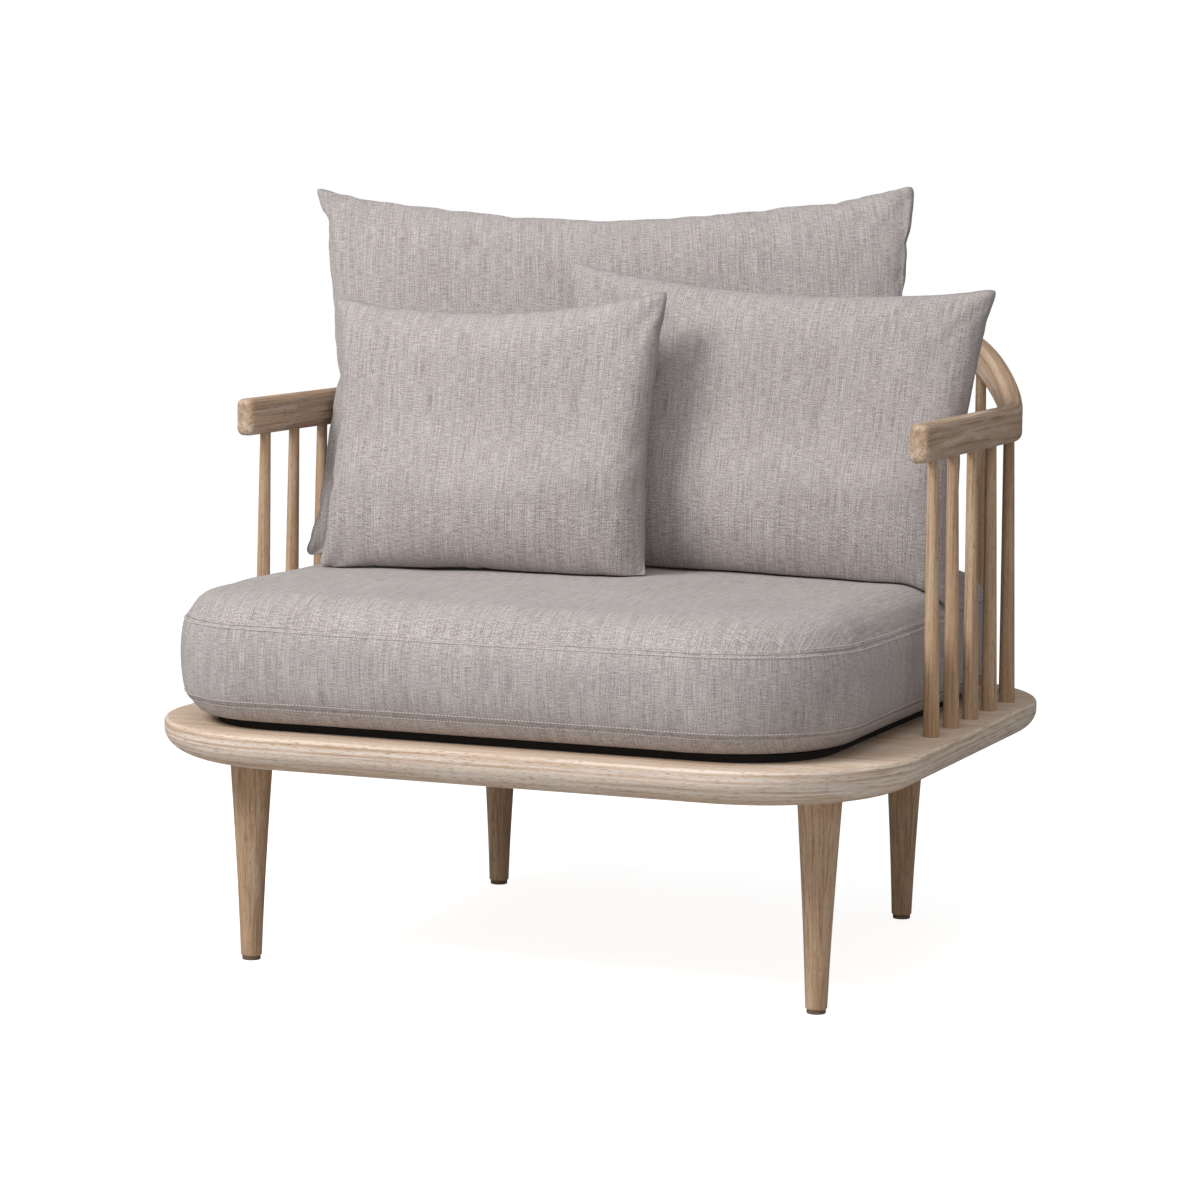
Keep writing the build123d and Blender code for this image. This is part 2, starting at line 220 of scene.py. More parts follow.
@dataclass(frozen=True)
class Inflation:
    """How a sewn shell is blown up: the push of its filling, the cloth and when to stop."""

    pressure: float = 6.0
    mass: float = 0.3
    stretch: float = 18.0
    bending: float = 0.4
    frames: int = 24

    def run(self, points: np.ndarray, faces: list, thickness: float) -> np.ndarray:
        """Blow up a closed shell, lying flat in XY, until it is thick enough.

        Args:
            points: the shell's vertices.
            faces: its faces.
            thickness: the full thickness at which it stops.

        Returns:
            The vertices of the inflated shell.
        """
        mesh = bpy.data.meshes.new("shell")
        mesh.from_pydata(points.tolist(), [], [list(f) for f in faces])
        shell = bpy.data.objects.new("shell", mesh)
        scene = bpy.context.scene
        scene.collection.objects.link(shell)
        cloth = shell.modifiers.new("cloth", "CLOTH")
        cloth.point_cache.frame_start, cloth.point_cache.frame_end = 1, self.frames + 1
        wanted = cloth.settings
        wanted.quality = 5
        wanted.mass = self.mass
        wanted.tension_stiffness = wanted.compression_stiffness = self.stretch
        wanted.shear_stiffness = self.stretch / 3
        wanted.bending_stiffness = self.bending
        wanted.use_pressure = True
        wanted.uniform_pressure_force = self.pressure
        wanted.effector_weights.gravity = 0
        blown = points
        for step in range(1, self.frames + 1):
            scene.frame_set(step)
            blown = shape_of(shell)
            if np.ptp(blown[:, 2]) >= thickness:
                break
        bpy.data.objects.remove(shell)
        scene.frame_set(1)
        return blown


# ---------------------------------------------------------------- finishes

class GrainFlow(Enum):
    """Which way the fibres run in an oak piece."""

    UPRIGHT = "along a turned leg or spindle"
    DECK = "along the board, with layers round its edge"
    RAIL = "round the bent rail"


@dataclass(frozen=True)
class SoapedOak:
    """Open-pored oak under white soap: pale, dry to the eye, with dark pores and no gloss."""

    name: str
    flow: GrainFlow
    pale: str = "#e4d2bf"
    body: str = "#d8bea6"
    late: str = "#b3947a"
    pore: str = "#7d624a"
    soap: str = "#e9e2dc"
    roughness: float = 0.62
    bump: float = 0.30

    def position(self, tree: bpy.types.NodeTree) -> tuple:
        """Split the place on the chair into its three coordinates.

        Args:
            tree: the material's tree.

        Returns:
            Its x, y and z sockets.
        """
        place = add_node(tree, "TexCoord", output="Object")
        split = tree.nodes.new("ShaderNodeSeparateXYZ")
        fill_sockets(tree, split, {0: place})
        return tuple(split.outputs)

    def fibre_vector(self, tree: bpy.types.NodeTree) -> bpy.types.NodeSocket:
        """Work out the place along, across and through the fibres.

        Args:
            tree: the material's tree.

        Returns:
            A vector socket, metres.
        """
        x, y, z = self.position(tree)
        if self.flow is GrainFlow.UPRIGHT:
            return add_node(tree, "CombineXYZ", {0: z, 1: x, 2: y})
        if self.flow is GrainFlow.DECK:
            return self.deck_vector(tree, x, y, z)
        return self.rail_vector(tree, x, y, z)

    def deck_vector(self, tree: bpy.types.NodeTree, x: bpy.types.NodeSocket, y: bpy.types.NodeSocket,
                    z: bpy.types.NodeSocket) -> bpy.types.NodeSocket:
        """Fibres along X on the faces of the board, and level layers round its edge.

        Args:
            tree: the material's tree.
            x: place to the right.
            y: place to the back.
            z: height.

        Returns:
            A vector socket, metres.
        """
        slow = add_node(tree, "Math", {0: y, 1: 0.05}, operation="MULTIPLY")
        edge = add_node(tree, "CombineXYZ", {0: x, 1: z, 2: slow})
        face = add_node(tree, "CombineXYZ", {0: x, 1: y, 2: z})
        return add_node(tree, "Mix", {0: self.facing_up(tree), 4: edge, 5: face}, 1, data_type="VECTOR")

    def facing_up(self, tree: bpy.types.NodeTree) -> bpy.types.NodeSocket:
        """One on the flat faces of the board and nought round its edge.

        Args:
            tree: the material's tree.

        Returns:
            A value socket.
        """
        normal = tree.nodes.new("ShaderNodeSeparateXYZ")
        fill_sockets(tree, normal, {0: add_node(tree, "NewGeometry", output="True Normal")})
        steep = add_node(tree, "Math", {0: normal.outputs[2]}, operation="ABSOLUTE")
        return add_node(tree, "MapRange", {0: steep, 1: 0.93, 2: 0.99}, interpolation_type="SMOOTHSTEP")

    def rail_vector(self, tree: bpy.types.NodeTree, x: bpy.types.NodeSocket, y: bpy.types.NodeSocket,
                    z: bpy.types.NodeSocket) -> bpy.types.NodeSocket:
        """Fibres that follow the rail round its corners and up to its back.

        Args:
            tree: the material's tree.
            x: place to the right.
            y: place to the back.
            z: height.

        Returns:
            A vector socket, metres.
        """
        rail = BentRail()
        side = add_node(tree, "Math", {0: x}, operation="ABSOLUTE")
        out = add_node(tree, "Math", {0: side, 1: rail.corner_x}, operation="SUBTRACT")
        back = add_node(tree, "Math", {0: y, 1: rail.corner_y}, operation="SUBTRACT")
        out_only = add_node(tree, "Math", {0: out, 1: 0.0}, operation="MAXIMUM")
        back_only = add_node(tree, "Math", {0: back, 1: 0.0}, operation="MAXIMUM")
        turn = add_node(tree, "Math", {0: back_only, 1: out_only}, operation="ARCTAN2")
        bend = add_node(tree, "Math", {0: turn, 1: rail.radius}, operation="MULTIPLY")
        inner = add_node(tree, "Math", {0: out, 1: 0.0}, operation="MINIMUM")
        front = add_node(tree, "Math", {0: back, 1: 0.0}, operation="MINIMUM")
        along = add_node(tree, "Math", {0: bend, 1: inner}, operation="SUBTRACT")
        along = add_node(tree, "Math", {0: along, 1: front}, operation="ADD")
        plan = add_node(tree, "CombineXYZ", {0: out_only, 1: back_only})
        across = add_node(tree, "VectorMath", {0: plan}, "Value", operation="LENGTH")
        rise = add_node(tree, "MapRange", {0: turn, 1: math.radians(8), 2: math.radians(75), 4: rail.rise},
                        interpolation_type="SMOOTHSTEP")
        level = add_node(tree, "Math", {0: z, 1: rise}, operation="SUBTRACT")
        return add_node(tree, "CombineXYZ", {0: along, 1: across, 2: level})

    def streaks(self, tree: bpy.types.NodeTree, vector: bpy.types.NodeSocket, length_mm: float,
                width_mm: float, detail: float) -> bpy.types.NodeSocket:
        """Noise drawn out along the fibres.

        Args:
            tree: the material's tree.
            vector: place along, across and through the fibres.
            length_mm: how long a streak is.
            width_mm: how wide it is.
            detail: how many finer octaves it holds.

        Returns:
            A value socket from 0 to 1.
        """
        scale = (1 / (length_mm * MM), 1 / (width_mm * MM), 1 / (width_mm * MM))
        stretched = add_node(tree, "VectorMath", {0: vector, 1: scale}, operation="MULTIPLY")
        return add_node(tree, "TexNoise", {"Vector": stretched, "Scale": 1.0, "Detail": detail})

    def veneer_layers(self, tree: bpy.types.NodeTree) -> bpy.types.NodeSocket:
        """Tone of each veneer that shows round the board's edge.

        Args:
            tree: the material's tree.

        Returns:
            A value socket from 0 to 1, with one value to each veneer.
        """
        place = self.position(tree)
        wobble = add_node(tree, "TexNoise", {"Vector": add_node(tree, "TexCoord", output="Object"),
                                             "Scale": 9.0, "Detail": 1.0})
        drift = add_node(tree, "Math", {0: wobble, 1: 1.6 * MM}, operation="MULTIPLY")
        height = add_node(tree, "Math", {0: place[2], 1: drift}, operation="ADD")
        # Veneers of 1.5 mm, drawn as 2.6 mm so that they show.
        number = add_node(tree, "Math", {0: height, 1: 1 / (2.6 * MM)}, operation="MULTIPLY")
        whole = add_node(tree, "Math", {0: number}, operation="FLOOR")
        return add_node(tree, "TexWhiteNoise", {1: whole}, "Value", noise_dimensions="1D")

    def material(self) -> bpy.types.Material:
        """Build the finish.

        Returns:
            The node material.
        """
        material, tree, surface = new_finish(self.name)
        vector = self.fibre_vector(tree)
        figure = self.streaks(tree, vector, 420, 22, 2.0)
        rings = self.streaks(tree, vector, 150, 2.6, 3.0)
        # Pores are 0.2 mm wide; drawn 0.9 mm wide so that they show.
        pores = self.streaks(tree, vector, 9, 0.9, 1.0)
        blotch = self.streaks(tree, vector, 60, 7, 2.0)
        tone = add_node(tree, "MapRange", {0: figure, 1: 0.32, 2: 0.68})
        late = add_node(tree, "MapRange", {0: rings, 1: 0.46, 2: 0.66, 4: 0.75})
        open_pore = add_node(tree, "MapRange", {0: pores, 1: 0.58, 2: 0.70, 4: 0.55})
        washed = add_node(tree, "MapRange", {0: blotch, 1: 0.50, 2: 0.75, 4: 0.35})
        shares = [(tone, self.body), (late, self.late)]
        if self.flow is GrainFlow.DECK:
            layer = self.veneer_layers(tree)
            edge = add_node(tree, "Math", {0: 1.0, 1: self.facing_up(tree)}, operation="SUBTRACT")
            for first, last, most, shade in ((0.35, 1.0, 0.55, self.late), (0.32, 0.12, 0.42, self.soap)):
                picked = add_node(tree, "MapRange", {0: layer, 1: first, 2: last, 4: most})
                share = add_node(tree, "Math", {0: picked, 1: edge}, operation="MULTIPLY")
                shares.append((share, shade))
        shares += [(washed, self.soap), (open_pore, self.pore)]
        colour = linear(self.pale)
        for share, shade in shares:
            colour = add_node(tree, "Mix", {0: share, 6: colour, 7: linear(shade)}, 2, data_type="RGBA")
        ridge = add_node(tree, "Math", {0: late, 1: open_pore}, operation="ADD")
        relief = add_node(tree, "Bump", {"Strength": self.bump, "Distance": 0.5 * MM, "Height": ridge},
                          invert=True)
        rough = add_node(tree, "MapRange", {0: rings, 3: self.roughness - 0.08, 4: self.roughness + 0.1})
        fill_sockets(tree, surface, {"Base Color": colour, "Roughness": rough, "Normal": relief,
                                     "Specular IOR Level": 0.35})
        return material


@dataclass(frozen=True)
class SlubLinen:
    """Heathered slub linen: uneven yarns give streaks both ways, a dry matt face and a soft sheen."""

    name: str = "slub_linen"
    pale: str = "#cfc8c5"
    body: str = "#ada5a3"
    dark: str = "#857d7a"
    # Yarns lie 0.6 mm apart; drawn 1.0 mm apart so that they show.
    yarn_mm: float = 1.0
    slub_mm: float = 30.0
    bump: float = 0.55
    roughness: float = 0.9
    sheen: float = 0.12

    def yarns(self, tree: bpy.types.NodeTree, uv: bpy.types.NodeSocket, across: float,
              along: float) -> bpy.types.NodeSocket:
        """Tone of the yarns that run one way.

        Args:
            tree: the material's tree.
            uv: place on the flat cloth, metres.
            across: size of the pattern along U, mm.
            along: size of the pattern along V, mm.

        Returns:
            A value socket from 0 to 1.
        """
        scale = (1 / (across * MM), 1 / (along * MM), 0.0)
        drawn = add_node(tree, "VectorMath", {0: uv, 1: scale}, operation="MULTIPLY")
        return add_node(tree, "TexNoise", {"Vector": drawn, "Scale": 1.0, "Detail": 2.0},
                        noise_dimensions="2D")

    def material(self) -> bpy.types.Material:
        """Build the finish.

        Returns:
            The node material.
        """
        material, tree, surface = new_finish(self.name)
        uv = add_node(tree, "UVMap", uv_map="cloth")
        # Size across and along, mm, and weight of the warp, the weft, bands, specks and cloudy patches.
        layers = ((self.yarn_mm, self.slub_mm, 0.55), (self.slub_mm * 0.4, self.yarn_mm, 0.6),
                  (3.5, 150.0, 0.22), (1.1, 0.9, 1.3), (90.0, 90.0, 0.10))
        both = 0.0
        for across, along, weight in layers:
            tone = self.yarns(tree, uv, across, along)
            both = add_node(tree, "Math", {0: tone, 1: weight, 2: both}, operation="MULTIPLY_ADD")
        low = add_node(tree, "MapRange", {0: both, 1: 1.09, 2: 1.385})
        high = add_node(tree, "MapRange", {0: both, 1: 1.385, 2: 1.68})
        colour = linear(self.dark)
        for share, tone in ((low, self.body), (high, self.pale)):
            colour = add_node(tree, "Mix", {0: share, 6: colour, 7: linear(tone)}, 2, data_type="RGBA")
        crease = self.yarns(tree, uv, 9.0, 14.0)
        height = add_node(tree, "Math", {0: crease, 1: 1.1, 2: both}, operation="MULTIPLY_ADD")
        relief = add_node(tree, "Bump", {"Strength": self.bump, "Distance": 0.9 * MM, "Height": height})
        fill_sockets(tree, surface, {"Base Color": colour, "Roughness": self.roughness,
                                     "Normal": relief, "Specular IOR Level": 0.25,
                                     "Sheen Weight": self.sheen, "Sheen Roughness": 0.5})
        return material


@dataclass(frozen=True)
class MottledFinish:
    """A plain stock material whose two close tones, grit and roughness are drawn at a real scale."""

    name: str
    light: str
    dark: str
    grit_mm: float
    roughness: float
    metallic: float = 0.0
    bump: float = 0.2
    drawn: tuple[float, float, float] = (1.0, 1.0, 1.0)

    def material(self) -> bpy.types.Material:
        """Build the finish.

        Returns:
            The node material.
        """
        material, tree, surface = new_finish(self.name)
        scale = tuple(share / (self.grit_mm * MM) for share in self.drawn)
        place = add_node(tree, "VectorMath", {0: add_node(tree, "TexCoord", output="Object"), 1: scale},
                         operation="MULTIPLY")
        grit = add_node(tree, "TexNoise", {"Vector": place, "Scale": 1.0, "Detail": 3.0})
        tone = add_node(tree, "MapRange", {0: grit, 1: 0.35, 2: 0.65})
        colour = add_node(tree, "Mix", {0: tone, 6: linear(self.dark), 7: linear(self.light)}, 2,
                          data_type="RGBA")
        rough = add_node(tree, "MapRange", {0: grit, 3: self.roughness - 0.08,
                                            4: min(self.roughness + 0.08, 1.0)})
        relief = add_node(tree, "Bump", {"Strength": self.bump, "Distance": 0.3 * MM, "Height": grit})
        fill_sockets(tree, surface, {"Base Color": colour, "Roughness": rough, "Normal": relief,
                                     "Metallic": self.metallic})
        return material


# Wool felt underlay: matt black with a loose fibre grit; its black is partly the felt's own and partly
# painted shade for the dark gap under the seat cushion.
FELT_AND_GAP_SHADE = MottledFinish("black_felt_and_painted_gap_shade", "#1d1b1a", "#0d0c0c", 1.5, 0.95, bump=0.6)
# Moulded nylon: dull brown with the faint texture of its mould.
MOULDED_NYLON = MottledFinish("moulded_nylon", "#7d6a57", "#65543f", 0.8, 0.5)
# Zinc plate: a cool grey metal, slightly cloudy from the bath.
ZINC_PLATE = MottledFinish("zinc_plated_steel", "#c4c7c9", "#a9adb0", 3.0, 0.35, metallic=1.0)
# Turned brass: warm yellow metal with fine rings from the lathe.
TURNED_BRASS = MottledFinish("turned_brass", "#d9b96a", "#c09c4e", 0.6, 0.3, metallic=1.0,
                             drawn=(0.1, 0.1, 1.0))
# Ribbed beech: pale straight-grained dowel stock, planed and dry.
BEECH_DOWEL = MottledFinish("beech_dowel", "#d8b896", "#c49f7b", 1.2, 0.6, drawn=(1.0, 0.1, 1.0))
# Polyester tape: a fine twill a little darker than the linen, with a faint plastic gloss.
POLYESTER_TAPE = MottledFinish("polyester_tape", "#8e8682", "#77706c", 0.7, 0.6)
# Coil and slider: dull antique nickel.
NICKEL_SLIDER = MottledFinish("antique_nickel", "#8b8780", "#6d6963", 0.9, 0.4, metallic=1.0)
# Cotton ticking: close downproof cotton, off-white and matt.
COTTON_TICKING = MottledFinish("cotton_ticking", "#e6e0d4", "#d6cfc1", 0.9, 0.9, bump=0.4)
# Cold foam: pale cream open cells.
COLD_FOAM = MottledFinish("cold_foam", "#ece3c6", "#d9cfae", 1.1, 0.95, bump=0.7)
# Linen sewing thread: a shade paler than the cloth, so that the rows of stitches show.
SEWING_THREAD = MottledFinish("sewing_thread", "#d8d0cc", "#c4bbb7", 0.5, 0.8)
# Painted seam shadow: a thin tube coloured like the cloth but darker, laid in the bottom of each seam to
# stand in for the shade in its groove.
SEAM_SHADE = MottledFinish("painted_seam_shade_linen", "#a09894", "#8a827e", 0.9, 0.95)


# ---------------------------------------------------------------- wooden frame

@dataclass
class BentRail:
    """The rail round the arms and back: where its corners turn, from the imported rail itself."""

    width: float = 22 * MM
    radius: float = 152 * MM      # of the centreline in plan

    @property
    def corner_x(self) -> float:
        """Distance of a corner's centre from the middle."""
        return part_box("arm_rail_right")[1].x - self.width / 2 - self.radius

    @property
    def corner_y(self) -> float:
        """Distance of a corner's centre behind the middle."""
        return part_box("back_rail")[1].y - self.width / 2 - self.radius

    @property
    def rise(self) -> float:
        """Climb of the rail from the arms to the back."""
        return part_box("back_rail")[1].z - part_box("arm_rail_left")[1].z


@dataclass
class WoodenFrame:
    """Deck, legs, spindles, rail and their hidden fastenings, dressed where they stand."""

    turned: SoapedOak = SoapedOak("soaped_turned_oak", GrainFlow.UPRIGHT, pale="#cdb193",
                                  body="#b89573", late="#99755a", soap="#c9bbab")
    board: SoapedOak = SoapedOak("soaped_laminated_oak", GrainFlow.DECK)
    bent: SoapedOak = SoapedOak("soaped_bent_oak", GrainFlow.RAIL, pale="#cbb199", body="#b3957b",
                                late="#8f7158")
    fastenings: dict = field(default_factory=lambda: {
        "glide_": MOULDED_NYLON, "leg_stud_": ZINC_PLATE, "deck_insert_": TURNED_BRASS,
        # The seat underlay's black is partly painted shade for the shadow gap under the seat cushion.
        "rail_dowels_": BEECH_DOWEL, "seat_underlay": FELT_AND_GAP_SHADE,
    })

    def dress(self) -> None:
        """Give every packed wooden and hardware node its finish."""
        timber = {"deck": self.board, "arm_rail_": self.bent, "back_rail": self.bent,
                  "spindle_": self.turned, "leg_": self.turned}
        made = {}
        for node in sorted(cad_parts):
            stems = [stem for stem in self.fastenings if node.startswith(stem)]
            stems = stems or [stem for stem in timber if node.startswith(stem)]
            if not stems:
                continue
            finish = self.fastenings.get(stems[0]) or timber[stems[0]]
            if finish.name not in made:
                made[finish.name] = finish.material()
            dress(node, made[finish.name])


# ---------------------------------------------------------------- stitches and zips

@dataclass
class Stitching:
    """Rows of lockstitch that lie on a seam."""

    pitch: float = 3.8 * MM
    length: float = 2.7 * MM
    radius: float = 0.55 * MM
    sides: int = 6
    # Place along a stitch and girth there, as shares of its length and radius.
    rings: tuple = ((-0.5, 0.35), (-0.3, 1.0), (0.3, 1.0), (0.5, 0.35))

    def points_along(self, loop: np.ndarray) -> tuple[np.ndarray, np.ndarray]:
        """Space stitches evenly on a closed line.

        Args:
            loop: the line's points in order.

        Returns:
            The middle of each stitch, and its direction.
        """
        closed = np.vstack([loop, loop[:1]])
        steps = np.linalg.norm(np.diff(closed, axis=0), axis=1)
        reach = np.concatenate([[0], np.cumsum(steps)])
        count = int(reach[-1] / self.pitch)
        at = np.arange(count) * reach[-1] / count
        place = np.stack([np.interp(at, reach, closed[:, axis]) for axis in range(3)], 1)
        ahead = np.roll(place, -1, axis=0) - np.roll(place, 1, axis=0)
        return place, ahead / np.linalg.norm(ahead, axis=1)[:, None]

    def line(self, loop: np.ndarray, outward: np.ndarray) -> tuple[np.ndarray, list]:
        """Build one closed round line.

        Args:
            loop: the line's points in order.
            outward: the cloth's facing at each of those points.

        Returns:
            Vertices and faces of the line.
        """
        along = np.roll(loop, -1, axis=0) - np.roll(loop, 1, axis=0)
        side = np.cross(along / np.linalg.norm(along, axis=1)[:, None], outward)
        turns = np.arange(self.sides) * 2 * math.pi / self.sides
        rings = [loop + (np.cos(turn) * side + np.sin(turn) * outward) * self.radius for turn in turns]
        numbers = np.arange(self.sides * len(loop)).reshape(self.sides, len(loop))
        numbers = np.pad(numbers, ((0, 1), (0, 1)), mode="wrap")
        return np.vstack(rings), quads(numbers).tolist()

    def row(self, loop: np.ndarray, outward: np.ndarray) -> tuple[np.ndarray, list]:
        """Build one row of stitches.

        Args:
            loop: the line's points in order.
            outward: the cloth's facing at each of those points.

        Returns:
            Vertices and faces of the row.
        """
        place, along = self.points_along(loop)
        nearest = np.argmin(((place[:, None] - loop[None]) ** 2).sum(2), axis=1)
        up = outward[nearest]
        side = np.cross(along, up)
        side /= np.linalg.norm(side, axis=1)[:, None]
        turns = np.arange(self.sides) * 2 * math.pi / self.sides
        round_it = (np.cos(turns)[:, None] * side[:, None] + np.sin(turns)[:, None] * up[:, None])
        steps, girths = np.array(self.rings).T[..., None, None]
        points = (place[:, None, None] + along[:, None, None] * steps * self.length
                  + round_it[:, None] * girths * self.radius)
        grids = np.arange(points.size // 3).reshape(points.shape[:3])
        faces = []
        for grid in grids:
            faces += quads(np.pad(grid, ((0, 0), (0, 1)), mode="wrap"), True).tolist()
            faces += [grid[0, ::-1].tolist(), grid[-1].tolist()]
        return points.reshape(-1, 3), faces


def joined(parts: list[tuple[np.ndarray, list]]) -> tuple[np.ndarray, list]:
    """Join meshes into one.

    Args:
        parts: vertices and faces of each.

    Returns:
        Vertices and faces of them all.
    """
    faces, base = [], 0
    for points, found in parts:
        faces += [tuple(base + corner for corner in face) for face in found]
        base += len(points)
    return np.vstack([points for points, _ in parts]), faces


@dataclass
class Zip:
    """Coil zip on its tape, closed, with a slider and a pull at one end."""

    tooth: float = 1.1 * MM
    tape: float = 4.5 * MM
    lift: float = 0.5 * MM
    pitch: float = 1.8 * MM
    slider: tuple[float, float, float] = (4.5 * MM, 3.2 * MM, 1.4 * MM)    # half sizes
    pull: tuple[float, float, float] = (9 * MM, 2.2 * MM, 0.9 * MM)

    def build(self, name: str, path: np.ndarray, outward: np.ndarray, body: str, node: str) -> None:
        """Lay the zip along a line.

        Args:
            name: the piece's name.
            path: the middle of the zip, points in order.
            outward: the facing at each of those points.
            body: the body that it rides on.
            node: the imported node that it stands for.
        """
        along = np.gradient(path, axis=0)
        along /= np.linalg.norm(along, axis=1)[:, None]
        side = np.cross(along, outward)
        side /= np.linalg.norm(side, axis=1)[:, None]
        points, faces = [], []
        for sign in (-1, 1):
            edges = [path + sign * side * reach * self.tape + outward * self.lift for reach in (0.25, 1.0)]
            grid = len(points) + np.arange(2 * len(path)).reshape(-1, 2)
            points += np.stack(edges, 1).reshape(-1, 3).tolist()
            faces += quads(grid, sign > 0).tolist()
        length = np.concatenate([[0], np.cumsum(np.linalg.norm(np.diff(path, axis=0), axis=1))])
        blocks = [(at, (0.6 * MM, self.tooth, 0.5 * MM)) for at in np.arange(0, length[-1], self.pitch)]
        blocks += [(length[-1] - 9 * MM, self.slider), (length[-1] - 20 * MM, self.pull)]
        for at, half in blocks:
            index = min(int(np.searchsorted(length, at)), len(path) - 1)
            middle = np.array([np.interp(at, length, path[:, axis]) for axis in range(3)])
            self.add_block(points, faces, middle + outward[index] * self.lift,
                           (along[index], side[index], outward[index]), half)
        piece = make_piece(name, np.array(points), faces, POLYESTER_TAPE.material(), smooth=False)
        piece.data.materials.append(NICKEL_SLIDER.material())
        for face in piece.data.polygons[-12:]:        # the slider's six faces and the pull's
            face.material_index = 1
        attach(piece, body)
        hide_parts(node)
        LOG.info("%s: %d faces", name, len(faces))

    def add_block(self, points: list, faces: list, middle: np.ndarray, ways: tuple, half: tuple) -> None:
        """Add a small bevelled block.

        Args:
            points: vertices so far, added to.
            faces: faces so far, added to.
            middle: its place.
            ways: its directions along, across and up.
            half: half its length, width and height.
        """
        base = len(points)
        along, side, up = (way * reach for way, reach in zip(ways, half))
        for height, share in ((-1, 1.0), (1, 0.7)):
            for run, wide in ((-1, -1), (1, -1), (1, 1), (-1, 1)):
                points.append(middle + (along * run + side * wide) * share + up * height)
        for quad in ((3, 2, 1, 0), (4, 5, 6, 7), (0, 1, 5, 4), (1, 2, 6, 5), (2, 3, 7, 6), (3, 0, 4, 7)):
            faces.append(tuple(base + corner for corner in quad))


# ---------------------------------------------------------------- seat cushion

@dataclass
class BoxedShell:
    """Sewn cover of the seat cushion, and which of its vertices lie where."""

    points: np.ndarray
    faces: np.ndarray
    spread: np.ndarray     # plan of a panel
    loop: np.ndarray       # plan of the seams
    outward: np.ndarray    # facing of the band round the plan
    levels: np.ndarray     # heights of the band's rings
    top: np.ndarray        # vertex numbers of the top panel, the bottom panel and the band's rings
    under: np.ndarray
    rings: np.ndarray
    rim: np.ndarray        # place in the panels of each seam point


